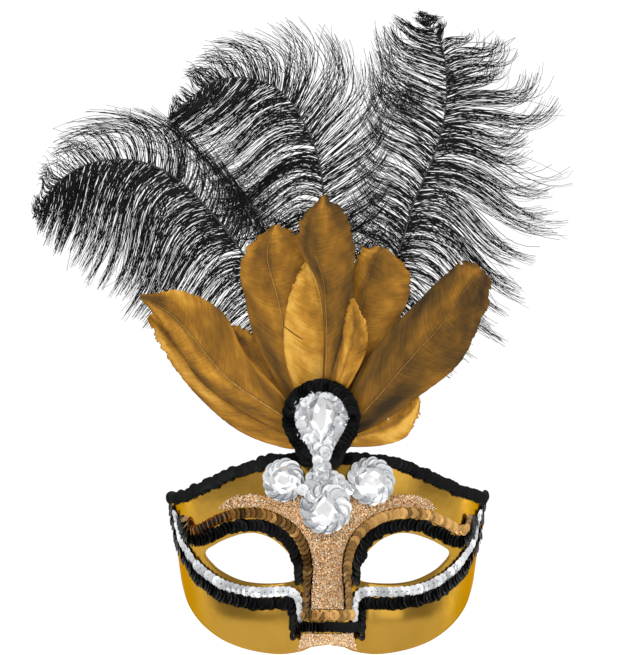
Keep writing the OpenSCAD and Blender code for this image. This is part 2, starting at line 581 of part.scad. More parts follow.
// Barbs start just clear of the quill
function barb_root(quill, side) = let (last = len(quill) - 1) [for (i = [0:last])
    let (t = unit(direction(quill, i))) quill[i] + [-t[1], t[0]] * side * (quill_r(i / last) + 0.15)];
function quill_r(s) = mix(quill_d / 2, 0.4, s);
module quill(plume, layer) color("#2a2623") {
    path = quill_of(plume);
    last = len(path) - 1;
    y = quill_first + layer * quill_pitch;
    sides = 6;
    ring = [for (i = [0:last]) let (t = unit(direction(path, i)), mid = hung(path[i], y),
        r = quill_r(i / last))
        [for (k = [0:sides - 1]) mid + r * (cos(360 * k / sides) * [-t[1], 0,
            t[0]] + sin(360 * k / sides) * [0, 1, 0])]];
    polyhedron(points = [for (row = ring) each row],
        faces = [
            [for (k = [0:sides - 1]) k],
            [for (k = [sides - 1:-1:0]) last * sides + k],
            for (i = [0:last - 1]) for (k = [0:sides - 1]) let (m = (k + 1) % sides) each [
                [i * sides + k, (i + 1) * sides + k, (i + 1) * sides + m],
                [i * sides + k, (i + 1) * sides + m, i * sides + m]]]);
}
module barbs(plume, layer) color("#1c1b19") {
    path = quill_of(plume);
    y = quill_first + layer * quill_pitch;
    left = curve(sized(plume[1], plume_h / PLUME_DRAWN_H), span_steps);
    right = curve(sized(plume[2], plume_h / PLUME_DRAWN_H), span_steps);
    vane(left, barb_root(path, 1), y, barb_t, 2);
    vane(barb_root(path, -1), right, y, barb_t, 2);
}

// Bound ends of the feathers, and the felt glued over them at the back
module feather_root() color("#303030") translate([plaque_x, felt_front, root_z]) rotate([90, 0, 0])
    cylinder(r = root_r, h = felt_front - plaque_back, $fn = round_fn);
module fan_felt() color("#303030") translate([plaque_x, felt_front + felt_t, root_z + felt_rise])
    rotate([90, 0, 0])
    cylinder(r = FELT_R, h = felt_t, $fn = round_fn);

mask_shell();
glitter_film();
nose_tip_glitter();
left_side() top_trim();  // top_trim_left
top_trim();  // top_trim_right
left_side() outer_trim();  // outer_trim_left
outer_trim();  // outer_trim_right
left_side() silver_trim();  // silver_trim_left
silver_trim();  // silver_trim_right
left_side() lid_trim();  // lid_trim_left
lid_trim();  // lid_trim_right
left_side() copper_trim();  // copper_trim_left
copper_trim();  // copper_trim_right
nose_copper_trim();
nose_black_trim();
rosette_felt(left_at, rosette_left_r);  // rosette_left_felt
rosette_ring(left_at, rosette_left_r);  // rosette_left_ring
round_gem(left_at, rosette_left_r);  // rosette_left_gem
rosette_felt(right_at, rosette_right_r);  // rosette_right_felt
rosette_ring(right_at, rosette_right_r);  // rosette_right_ring
round_gem(right_at, rosette_right_r);  // rosette_right_gem
rosette_felt(LOW_AT, rosette_low_r);  // rosette_low_felt
rosette_ring(LOW_AT, rosette_low_r);  // rosette_low_ring
rosette_low_gem();
stem_pad();
stem_tail();
left_side() temple_tab();  // temple_tab_left
temple_tab();  // temple_tab_right
left_side() eyelet();  // eyelet_left
eyelet();  // eyelet_right
plaque_card();
plaque_border();
plaque_field();
plaque_gem();
feather_root();
fan_felt();
for (i = [0:len(GOLD) - 1]) gold_feather(i);
quill(LEFT_PLUME, 0);  // left_quill
barbs(LEFT_PLUME, 0);  // left_barbs
quill(CENTRE_PLUME, 2);  // centre_quill
barbs(CENTRE_PLUME, 2);  // centre_barbs
quill(RIGHT_PLUME, 1);  // right_quill
barbs(RIGHT_PLUME, 1);  // right_barbs
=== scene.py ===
"""Venetian masquerade mask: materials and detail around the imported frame. Lengths are worked out in mm."""
import math
import bmesh
import bpy
import numpy as np
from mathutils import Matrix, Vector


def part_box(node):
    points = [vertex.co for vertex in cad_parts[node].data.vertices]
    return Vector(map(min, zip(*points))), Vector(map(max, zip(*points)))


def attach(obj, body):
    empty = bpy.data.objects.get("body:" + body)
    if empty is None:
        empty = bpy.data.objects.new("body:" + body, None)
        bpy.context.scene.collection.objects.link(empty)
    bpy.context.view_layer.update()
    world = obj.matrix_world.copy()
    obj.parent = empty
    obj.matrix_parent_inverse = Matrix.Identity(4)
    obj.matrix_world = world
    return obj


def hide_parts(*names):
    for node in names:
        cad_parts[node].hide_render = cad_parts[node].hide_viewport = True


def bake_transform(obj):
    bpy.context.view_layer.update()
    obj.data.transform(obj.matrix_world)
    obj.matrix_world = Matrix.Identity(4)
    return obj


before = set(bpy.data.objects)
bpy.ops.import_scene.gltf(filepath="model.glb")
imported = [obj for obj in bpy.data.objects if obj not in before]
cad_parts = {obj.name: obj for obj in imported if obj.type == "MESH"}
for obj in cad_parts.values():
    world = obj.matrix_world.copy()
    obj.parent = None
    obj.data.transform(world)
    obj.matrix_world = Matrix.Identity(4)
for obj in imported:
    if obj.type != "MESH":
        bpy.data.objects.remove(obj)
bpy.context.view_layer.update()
MM = 0.001

# ---------------------------------------------------------------- sizes, as in part.scad
WALL, NOSE_H, SOCKET_D, CHEEK_H = 1.0, 20.0, 4.0, 2.5
SEQUIN_W, SEQUIN_T, GLUE_GAP, STRIP_GAP, GLITTER_T = 6.0, 1.2, 0.4, 0.4, 0.5
EDGE_ANGLE = 82.0
DEPTH_R = 62.0 / (1 - math.cos(math.radians(EDGE_ANGLE)))
PITCH = SEQUIN_W + STRIP_GAP
TRIM_TOP = GLUE_GAP + SEQUIN_T
PLAQUE_X, PLAQUE_R, BORDER_W, STEM_W = -3.5, 21.8, 7.0, 8.6
NECK_Z, PLAQUE_Z, ROOT_Z = 56.0, 78.0, 64.0
PLAQUE_BACK, CARD_FRONT = 3.59058, 2.09058
GOLD_FIRST, GOLD_PITCH, GOLD_T = 3.89058, 0.55, 0.4
QUILL_FIRST, QUILL_PITCH, QUILL_D = 10.7906, 2.5, 2.0
LOW_AT, LEFT_AT, RIGHT_AT = (-1.2, 28.0), (-23.3171, 43.4866), (22.9694, 43.1027)
ROSETTES = {"left": (LEFT_AT, 12.0), "right": (RIGHT_AT, 13.5), "low": (LOW_AT, 14.5)}
RING_W, FELT_T, RING_T, GEM_H = 4.0, 1.2, 1.6, 3.2

EYE = [[11.6, -8.5], [13.8, -11.9], [20, -13.2], [28, -13.3], [35, -12], [42, -8.8], [49, -3.8], [54, 3.2],
       [47.5, 8], [40, 11.8], [33, 14.4], [27, 14.6], [21.5, 12], [17, 7.2], [13.6, 1], [12, -4]]
EYE_MID = (29.0, 1.0)
TOP_EDGE = [[0, 58], [12, 58], [20, 57], [27, 54], [36, 49.4], [46, 44.4], [58, 38.9], [70, 36.6], [79, 36]]
SIDE_EDGE = [[82, 33.5], [82, 22], [82, 9], [82, -4]]
LOW_EDGE = [[81, -13], [75, -24], [65, -33.4], [55, -40.6], [45, -46], [33, -50], [21, -51.8], [12, -50.4], [7, -47.6]]
MID_LOW, MID_TOP = -46.5, 58.0
SILVER_NOSE = 10.2
WING = [[0, 40], [8, 39], [16, 36], [23, 35.2], [29.5, 36], [36, 34.4], [40.5, 31], [43, 27.8]]
NOSE_COPPER_Z, NOSE_BLACK_Z = -30.2, -36.6

# Gold feathers from the front to the back: left edge and right edge, [x, z] from the feather root
GOLD_EDGES = {
    "curl": ([[-1, 8], [3, 26], [7, 42], [11, 56], [13, 68], [16, 80]],
      [[4, 8], [11, 24], [19, 38], [25, 52], [25, 66], [18, 80]]),
    "tall": ([[0, 9], [1, 34], [1.5, 62], [-2, 88], [-13, 112], [-1, 136]],
      [[4, 9], [11, 34], [16, 60], [18, 88], [17, 116], [3, 137]]),
    "far_left": ([[-6, 0], [-22, 6], [-44, 18], [-66, 34], [-84, 60], [-99, 79]],
      [[-4, 7], [-24, 30], [-42, 50], [-54, 72], [-76, 84], [-100, 82]]),
    "far_right": ([[4, 7], [18, 34], [34, 58], [54, 79], [72, 96], [86, 99]],
      [[6, 0], [30, 10], [54, 26], [76, 44], [88, 68], [94, 91]]),
    "front": ([[-5, 8], [-14, 28], [-20, 48], [-20, 68], [-16, 86], [-9, 100]],
      [[2, 8], [4, 28], [5, 48], [6, 66], [3, 84], [-6, 100]]),
    "low_right": ([[5, 4], [16, 9], [28, 15], [38, 20], [47, 24], [54, 26]],
      [[6, -1], [20, -2], [34, -1], [46, 3], [52, 12], [55, 23]]),
    "mid_left": ([[-6, 7], [-22, 30], [-36, 56], [-42, 80], [-44, 100], [-27, 120]],
      [[0, 8], [-2, 30], [-3, 56], [-4, 82], [-9, 106], [-23, 121]]),
    "mid_right": ([[0, 8], [5, 32], [10, 56], [15, 80], [19, 101], [31, 109]],
      [[5, 7], [16, 28], [30, 48], [43, 68], [49, 88], [38, 107]]),
    "short_left": ([[-6, 5], [-18, 14], [-30, 26], [-42, 40], [-49, 52], [-52, 63]],
      [[-3, 8], [-12, 24], [-20, 40], [-30, 54], [-40, 62], [-50, 65]]),
    "low_left": ([[-6, -1], [-18, -3], [-44, 6], [-66, 24], [-84, 46], [-96, 69]],
      [[-5, 4], [-20, 14], [-38, 28], [-56, 44], [-74, 62], [-94, 72]])}
# Ostrich plumes: quill, and the ends of the barbs on its left and on its right
PLUMES = {
    "left": (
        [[-7, 11], [-18, 42], [-30, 80], [-44, 106], [-62, 129], [-81, 147], [-103, 156], [-128, 154], [-147, 142], [-158, 126]],
        [[-10, 14], [-30, 40], [-60, 56], [-90, 60], [-106, 66], [-114, 78], [-126, 90], [-140, 100], [-152, 112], [-160, 124]],
        [[-6, 16], [-8, 48], [-18, 96], [-32, 124], [-50, 148], [-72, 172], [-98, 186], [-128, 182], [-148, 166], [-160, 132]]),
    "centre": (
        [[0, 13], [2, 46], [3, 90], [2, 120], [0, 150], [-7, 172], [-20, 192], [-38, 201], [-60, 199], [-83, 180]],
        [[-2, 15], [-8, 50], [-22, 88], [-40, 104], [-56, 120], [-66, 136], [-74, 150], [-80, 162], [-84, 170], [-87, 177]],
        [[2, 15], [12, 50], [24, 96], [36, 130], [42, 168], [36, 206], [10, 226], [-28, 231], [-62, 220], [-86, 188]]),
    "right": (
        [[6, 12], [14, 40], [28, 76], [42, 104], [52, 135], [62, 158], [68, 180], [69, 200], [66, 220], [54, 237]],
        [[4, 14], [5, 48], [8, 84], [12, 112], [16, 142], [20, 168], [23, 192], [26, 212], [32, 229], [50, 238]],
        [[10, 13], [36, 32], [74, 40], [96, 58], [114, 86], [130, 120], [136, 156], [131, 196], [104, 222], [60, 238]])}
LAYERS = {"left": 0, "right": 1, "centre": 2}


# ---------------------------------------------------------------- curves
def at_steps(points, u):
    """Catmull-Rom curve through points, read at places u from 0 to the last point's number."""
    p = np.asarray(points, float)
    p = np.vstack([2 * p[0] - p[1], p, 2 * p[-1] - p[-2]])
    u = np.clip(np.asarray(u, float), 0, len(points) - 1)
    i = np.minimum(u.astype(int), len(points) - 2)
    s = (u - i)[..., None]
    a, b, c, d = p[i], p[i + 1], p[i + 2], p[i + 3]
    return (2 * b + (c - a) * s + (2 * a - 5 * b + 4 * c - d) * s**2 + (3 * b - a - 3 * c + d) * s**3) / 2


def curve(points, steps):
    return at_steps(points, np.linspace(0, len(points) - 1, (len(points) - 1) * steps + 1))


def loop_curve(points, steps):
    n = len(points)
    wrapped = [points[-1]] + list(points) + [points[0], points[1]]
    return at_steps(wrapped, 1 + np.arange(n * steps) / steps)


def unit(v):
    return v / np.maximum(np.linalg.norm(v, axis=-1, keepdims=True), 1e-12)


def smooth(s):
    c = np.clip(s, 0, 1)
    return c * c * (3 - 2 * c)


def spaced(points, gap):
    """Points a fixed distance apart along a polyline."""
    p = np.asarray(points, float)
    run = np.concatenate([[0], np.cumsum(np.linalg.norm(np.diff(p, axis=0), axis=1))])
    places = np.linspace(0, run[-1], max(2, int(round(run[-1] / gap)) + 1))
    return np.stack([np.interp(places, run, p[:, k]) for k in range(p.shape[1])], 1)


# ---------------------------------------------------------------- face surface: places are [plan angle, height]
def half_w(z):
    return 83.8 + 0.125 * z


def relief(x, z):
    rise = smooth((28 - z) / 66)
    tuck = 3 * (np.maximum(0, -38 - z) / 9) ** 2
    nose = (NOSE_H * rise - tuck) * (1 + np.cos(np.pi * np.minimum(1, np.abs(x) / 24) ** 1.15)) / 2
    lean = 0.0015 * np.maximum(0, z - 10) ** 2

    def bump(mx, mz, wide, high):
        return np.exp(-((np.abs(x) - mx) / wide) ** 2 - ((z - mz) / high) ** 2)
    return lean - nose + SOCKET_D * bump(44, 0, 26, 20) - CHEEK_H * bump(44, -34, 20, 12)


FACE_Y = float(-WALL - relief(np.array(0.0), np.array(0.0)))


def on_face(p):
    p = np.asarray(p, float)
    t, z = np.radians(p[..., 0]), p[..., 1]
    x = half_w(z) * np.sin(t)
    return np.stack([x, FACE_Y + DEPTH_R * (1 - np.cos(t)) + relief(x, z), z], -1)


def slopes(p):
    p = np.asarray(p, float)
    dt, dz = np.array([0.2, 0.0]), np.array([0.0, 0.2])
    return (on_face(p + dt) - on_face(p - dt)) / 0.4, (on_face(p + dz) - on_face(p - dz)) / 0.4


def out_dir(p):
    st, sz = slopes(p)
    return unit(np.cross(st, sz))


def lifted(p, h):
    return on_face(p) + out_dir(p) * h


def direction(path):
    path = np.asarray(path, float)
    i = np.arange(len(path))
    return path[np.minimum(i + 1, len(path) - 1)] - path[np.maximum(i - 1, 0)]


def beside(p, along, d):
    st, sz = slopes(p)
    st, sz = np.linalg.norm(st, axis=-1), np.linalg.norm(sz, axis=-1)
    size = np.hypot(along[..., 0] * st, along[..., 1] * sz)
    return p + np.stack([-along[..., 1] * sz / st, along[..., 0] * st / sz], -1) * (d / size)[..., None]


def shifted(path, d):
    return beside(np.asarray(path, float), direction(path), np.full(len(path), float(d)))


def place_of(x, z):
    return np.stack([np.degrees(np.arcsin(x / half_w(z))), z], -1)


# ---------------------------------------------------------------- meshes
def piece(name, verts, faces, body, material, nodes=(), smooth_shade=True, uv=None, tone=None, tones=None):
    """One object from points in mm. uv is one place for each point, tone one number for each point."""
    mesh = bpy.data.meshes.new(name)
    verts = np.asarray(verts, float) * MM
    mesh.from_pydata(verts.tolist(), [], [list(map(int, f)) for f in faces])
    mesh.validate(clean_customdata=False)
    if smooth_shade:
        mesh.shade_smooth()
    loops = np.zeros(len(mesh.loops), int)
    mesh.loops.foreach_get("vertex_index", loops)
    if uv is not None:
        layer = mesh.uv_layers.new(name="OFBake")
        layer.data.foreach_set("uv", np.asarray(uv, np.float32)[loops].ravel())
    for key, values in {**({"tone": tone} if tone is not None else {}), **(tones or {})}.items():
        attribute = mesh.attributes.new(key, "FLOAT", "POINT")
        attribute.data.foreach_set("value", np.asarray(values, np.float32))
    obj = bpy.data.objects.new(name, mesh)
    bpy.context.scene.collection.objects.link(obj)
    mesh.materials.append(material)
    if body:
        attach(obj, body)
    if nodes:
        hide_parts(*nodes)
    return obj


def grid(rows, cols, wrap_rows=False, wrap_cols=False, start=0, turn=False):
    """Four-sided faces of a grid of points numbered row by row."""
    i = np.arange(rows if wrap_rows else rows - 1)
    j = np.arange(cols if wrap_cols else cols - 1)
    i, j = (a.ravel() for a in np.meshgrid(i, j, indexing="ij"))
    i2, j2 = (i + 1) % rows, (j + 1) % cols
    f = np.stack([i * cols + j, i2 * cols + j, i2 * cols + j2, i * cols + j2], 1) + start
    return f[:, ::-1] if turn else f


def sheet_solid(front, back):
    """Closed thin solid between two grids of points."""
    rows, cols = front.shape[:2]
    n = rows * cols
    verts = np.concatenate([front.reshape(-1, 3), back.reshape(-1, 3)])
    ring = ([(0, j) for j in range(cols)] + [(i, cols - 1) for i in range(1, rows)]
            + [(rows - 1, j) for j in range(cols - 2, -1, -1)] + [(i, 0) for i in range(rows - 2, 0, -1)])
    edge = np.array([i * cols + j for i, j in ring])
    after = np.roll(edge, -1)
    sides = np.stack([edge, after, after + n, edge + n], 1)
    return verts, np.vstack([grid(rows, cols), grid(rows, cols, start=n, turn=True), sides])


def tubes(paths, radii, sides=3, flat=1.0):
    """Closed tapered tubes along many paths, [tube, step, xyz], with a radius at each step."""
    n, steps = paths.shape[:2]
    along = unit(np.gradient(paths, axis=1))
    across = unit(np.cross(along, np.array([0.02, 1.0, 0.03])))
    third = np.cross(along, across)
    a = 2 * np.pi * np.arange(sides) / sides
    ring = (across[:, :, None] * np.cos(a)[:, None] + third[:, :, None] * np.sin(a)[:, None] * flat)
    verts = paths[:, :, None] + ring * radii[:, :, None, None]
    one = grid(steps, sides, wrap_cols=True)
    faces = (one[None] + (np.arange(n) * steps * sides)[:, None, None]).reshape(-1, 4)
    caps = []
    if sides == 3:
        base = np.arange(n) * steps * 3
        caps = np.vstack([np.stack([base, base + 1, base + 2], 1),
                          np.stack([base + steps * 3 - 1, base + steps * 3 - 2, base + steps * 3 - 3], 1)])
    else:
        base = np.arange(n)[:, None] * steps * sides
        caps = np.vstack([base + np.arange(sides), base + steps * sides - 1 - np.arange(sides)])
    return verts.reshape(-1, 3), [*faces.tolist(), *caps.tolist()]


def stamped(template, faces, origins, frames, scales=None):
    """Copies of a small mesh at many places. frames are rows of three axes."""
    n, m = len(origins), len(template)
    scales = np.ones(n) if scales is None else scales
    verts = np.einsum("vk,nkd->nvd", template, frames) * scales[:, None, None] + origins[:, None]
    numbers = np.arange(n) * m
    every = [[k + s for k in f] for s in numbers.tolist() for f in faces]
    return verts.reshape(-1, 3), every


def turned(frames, axis, angle):
    """Frames turned about one of their own axes, by one angle for each."""
    c, s = np.cos(angle)[:, None], np.sin(angle)[:, None]
    a, b = [k for k in range(3) if k != axis]
    out = frames.copy()
    out[:, a] = frames[:, a] * c + frames[:, b] * s
    out[:, b] = frames[:, b] * c - frames[:, a] * s
    return out


def hull(points):
    """Cut stone: the flat facets round a set of points."""
    bm = bmesh.new()
    for p in points:
        bm.verts.new(p)
    bmesh.ops.convex_hull(bm, input=bm.verts[:])
    bmesh.ops.dissolve_limit(bm, angle_limit=0.01, verts=bm.verts[:], edges=bm.edges[:])
    bmesh.ops.delete(bm, geom=[v for v in bm.verts if not v.link_faces], context="VERTS")
    bm.verts.index_update()
    verts = np.array([v.co[:] for v in bm.verts])
    faces = [[v.index for v in f.verts] for f in bm.faces]
    bm.free()
    return verts, faces


# ---------------------------------------------------------------- materials
def srgb(r, g, b):
    return tuple((c / 255 / 12.92 if c <= 10.3 else ((c / 255 + 0.055) / 1.055) ** 2.4) for c in (r, g, b)) + (1.0,)


class Look:
    """A Principled material with its nodes at hand."""

    def __init__(self, name, base, rough, metallic=0.0, **more):
        self.m = bpy.data.materials.new(name)
        self.m.use_nodes = True
        self.t = self.m.node_tree
        self.b = self.t.nodes["Principled BSDF"]
        self.set("Base Color", base)
        self.set("Roughness", rough)
        self.set("Metallic", metallic)
        for key, value in more.items():
            self.set(key.replace("_", " "), value)

    def set(self, socket, value):
        self.b.inputs[socket].default_value = value

    def node(self, kind, **values):
        node = self.t.nodes.new(kind)
        for key, value in values.items():
            if key in node.inputs:
                node.inputs[key].default_value = value
            else:
                setattr(node, key, value)
        return node

    def link(self, a, b):
        self.t.links.new(a, b)

    def place(self, scale=(1, 1, 1), uv=False):
        source = self.node("ShaderNodeUVMap", uv_map="OFBake") if uv else self.node("ShaderNodeTexCoord")
        mapping = self.node("ShaderNodeMapping")
        mapping.inputs["Scale"].default_value = scale
        self.link(source.outputs["UV" if uv else "Object"], mapping.inputs["Vector"])
        return mapping.outputs["Vector"]

    def noise(self, where, scale, detail=3.0, rough=0.5):
        node = self.node("ShaderNodeTexNoise", Scale=scale, Detail=detail, Roughness=rough)
        self.link(where, node.inputs["Vector"])
        return node.outputs["Fac"]

    def attribute(self, name):
        return self.node("ShaderNodeAttribute", attribute_name=name).outputs["Fac"]

    def ramp(self, value, stops):
        node = self.node("ShaderNodeValToRGB")
        elements = node.color_ramp.elements
        while len(elements) < len(stops):
            elements.new(0.5)
        for element, (place, colour) in zip(elements, stops):
            element.position, element.color = place, colour
        self.link(value, node.inputs["Fac"])
        return node.outputs["Color"]

    def span(self, value, low, high, start=0.0, end=1.0):
        node = self.node("ShaderNodeMapRange")
        for key, number in zip(("From Min", "From Max", "To Min", "To Max"), (start, end, low, high)):
            node.inputs[key].default_value = number
        self.link(value, node.inputs["Value"])
        return node.outputs["Result"]

    def mixed(self, a, b, how="MULTIPLY", amount=1.0):
        node = self.node("ShaderNodeMix", data_type="RGBA", blend_type=how)
        node.inputs[0].default_value = amount
        self.link(a, node.inputs[6])
        self.link(b, node.inputs[7])
        return node.outputs[2]

    def sum(self, a, b, scale=1.0):
        node = self.node("ShaderNodeMath", operation="MULTIPLY_ADD")
        node.inputs[1].default_value = scale
        self.link(b, node.inputs[0])
        self.link(a, node.inputs[2])
        return node.outputs[0]

    def bump(self, height, strength, distance, after=None):
        node = self.node("ShaderNodeBump", Strength=strength, Distance=distance)
        self.link(height, node.inputs["Height"])
        if after:
            self.link(after, node.inputs["Normal"])
        self.link(node.outputs["Normal"], self.b.inputs["Normal"])
        return node.outputs["Normal"]

    def to(self, socket, value):
        self.link(value, self.b.inputs[socket])


def make_gold_plastic():
    k = Look("gold_plastic", srgb(180, 138, 56), 0.26, 1.0, Specular_Tint=srgb(238, 196, 118))
    where = k.place()
    broad = k.noise(where, 38, 2)
    k.to("Base Color", k.ramp(broad, [(0.3, srgb(172, 132, 52)), (0.7, srgb(184, 142, 59))]))
    k.to("Roughness", k.span(k.noise(where, 900, 4), 0.2, 0.26, 0.3, 0.7))
    ripple = k.bump(k.noise(where, 60, 2), 0.25, 0.0012)
    k.bump(k.noise(where, 1400, 3), 0.04, 0.0001, ripple)
    return k.m


def make_glitter(name, dark, mid, light):
    k = Look(name, mid, 0.32, 0.75, Coat_Weight=0.25, Coat_Roughness=0.15)
    where = k.place()
    cells = k.node("ShaderNodeTexVoronoi", Scale=1900.0, Randomness=1.0)
    k.link(where, cells.inputs["Vector"])
    split = k.node("ShaderNodeSeparateColor")
    k.link(cells.outputs["Color"], split.inputs["Color"])
    k.to("Base Color", k.ramp(split.outputs["Red"], [(0.0, dark), (0.22, mid), (0.58, mid), (0.85, light)]))
    k.to("Roughness", k.span(split.outputs["Green"], 0.12, 0.5))
    middle = k.node("ShaderNodeVectorMath", operation="SUBTRACT")
    middle.inputs[1].default_value = (0.5, 0.5, 0.5)
    k.link(cells.outputs["Color"], middle.inputs[0])
    size = k.node("ShaderNodeVectorMath", operation="SCALE")
    size.inputs["Scale"].default_value = 1.1
    k.link(middle.outputs[0], size.inputs[0])
    add = k.node("ShaderNodeVectorMath", operation="ADD")
    k.link(k.node("ShaderNodeNewGeometry").outputs["Normal"], add.inputs[0])
    k.link(size.outputs[0], add.inputs[1])
    whole = k.node("ShaderNodeVectorMath", operation="NORMALIZE")
    k.link(add.outputs[0], whole.inputs[0])
    k.to("Normal", whole.outputs[0])
    return k.m


def make_sequin(name, dark, light, rough, metallic, **more):
    k = Look(name, light, rough, metallic, **more)
    k.to("Base Color", k.ramp(k.attribute("tone"), [(0.0, dark), (1.0, light)]))
    where = k.place()
    k.to("Roughness", k.span(k.noise(where, 700, 3), rough * 0.7, rough * 1.5, 0.3, 0.7))
    k.bump(k.noise(where, 1500, 2), 0.15, 0.0001)
    return k.m


def make_fibre(name, dark, light, scale=900, rough=0.95):
    k = Look(name, light, rough, 0.0, Sheen_Weight=0.35, Sheen_Roughness=0.5)
    where = k.place()
    k.to("Base Color", k.ramp(k.noise(where, scale, 6, 0.7), [(0.3, dark), (0.7, light)]))
    k.bump(k.noise(where, scale * 1.4, 5, 0.7), 0.7, 0.0004)
    return k.m


def make_feather():
    k = Look("gold_feather", srgb(160, 110, 30), 0.5, 0.0, Sheen_Weight=0.06, Sheen_Roughness=0.35,
             Sheen_Tint=srgb(255, 200, 100), Specular_IOR_Level=0.22)
    fine = k.noise(k.place((2.5, 190, 1), uv=True), 1.0, 4, 0.6)
    # broad light and dark bands over the vane: painted satin sheen
    broad = k.noise(k.place((3.2, 9, 1), uv=True), 1.0, 3, 0.55)
    spread = k.sum(k.attribute("tone"), k.span(broad, -0.2, 0.2, 0.3, 0.7))
    lines = k.sum(spread, k.span(fine, -0.1, 0.1, 0.3, 0.7))
    k.to("Base Color", k.ramp(lines, [(0.0, srgb(52, 35, 7)), (0.3, srgb(104, 71, 14)), (0.55, srgb(148, 100, 22)),
                                      (0.8, srgb(196, 138, 40)), (1.0, srgb(232, 178, 76))]))
    k.to("Roughness", k.span(fine, 0.4, 0.62, 0.3, 0.7))
    k.bump(fine, 0.55, 0.00025)
    return k.m


def make_gem():
    k = Look("gem_stone", srgb(240, 242, 245), 0.07, 0.45, Coat_Weight=1.0, Coat_Roughness=0.02)
    where = k.place()
    # cloudy light and dark patches over the facet tones: painted reflections inside the stone
    inner = k.span(k.noise(where, 260, 2), -0.16, 0.16, 0.35, 0.65)
    k.to("Base Color", k.ramp(k.sum(k.attribute("tone"), inner), [(0.0, srgb(146, 150, 157)), (0.5, srgb(222, 225, 229)),
                                                                 (0.9, srgb(255, 255, 255))]))
    k.to("Roughness", k.span(k.noise(where, 500, 2), 0.03, 0.14, 0.3, 0.7))
    return k.m


def make_barb():
    k = Look("ostrich_barb", srgb(16, 15, 14), 0.6, 0.0, Specular_IOR_Level=0.25)
    k.to("Base Color", k.ramp(k.attribute("tone"), [(0.0, srgb(7, 7, 6)), (0.6, srgb(20, 19, 18)), (1.0, srgb(44, 43, 43))]))
    k.bump(k.noise(k.place(), 2500, 3), 0.5, 0.0002)
    return k.m


def make_plain(name, dark, light, rough, scale, metallic=0.0, depth=0.0002, **more):
    k = Look(name, light, rough, metallic, **more)
    where = k.place()
    grain = k.noise(where, scale, 5, 0.6)
    k.to("Base Color", k.ramp(grain, [(0.3, dark), (0.7, light)]))
    k.to("Roughness", k.span(grain, rough * 0.8, min(1, rough * 1.25), 0.3, 0.7))
    k.bump(grain, 0.3, depth)
    return k.m


GOLD_PLASTIC = make_gold_plastic()
GLITTER = make_glitter("rose_glitter", srgb(104, 68, 34), srgb(224, 166, 104), srgb(255, 244, 216))
BLACK_SEQUIN = make_sequin("black_sequin", srgb(3, 3, 4), srgb(13, 14, 15), 0.4, 0.0, Specular_IOR_Level=0.14)
SILVER_SEQUIN = make_sequin("silver_sequin", srgb(176, 178, 183), srgb(246, 247, 249), 0.3, 0.6, Coat_Weight=0.3, Coat_Roughness=0.15)
# the copper's dark end also serves the painted shade on the nose sides
COPPER_SEQUIN = make_sequin("copper_sequin", srgb(104, 72, 26), srgb(236, 182, 106), 0.32, 0.6)
CLEAR_SEQUIN = make_sequin("rosette_sequin", srgb(182, 186, 191), srgb(250, 251, 252), 0.22, 0.45, Coat_Weight=0.6, Coat_Roughness=0.1)
BLACK_TAPE = make_fibre("black_tape", srgb(8, 8, 8), srgb(26, 25, 25), 1500)
FELT = make_fibre("black_felt", srgb(14, 14, 14), srgb(42, 41, 40))
CARD = make_plain("black_card", srgb(20, 19, 18), srgb(38, 36, 35), 0.8, 900)
THREAD = make_fibre("binding_thread", srgb(16, 15, 14), srgb(48, 45, 42), 1800)
FEATHER = make_feather()
SHAFT = make_plain("gold_shaft", srgb(140, 98, 30), srgb(206, 156, 72), 0.45, 400)
GEM = make_gem()
BARB = make_barb()
QUILL = make_plain("dark_quill", srgb(26, 22, 20), srgb(66, 60, 56), 0.42, 500, Coat_Weight=0.2)
BRASS = make_plain("brass_eyelet", srgb(190, 150, 78), srgb(232, 196, 120), 0.25, 800, 1.0)

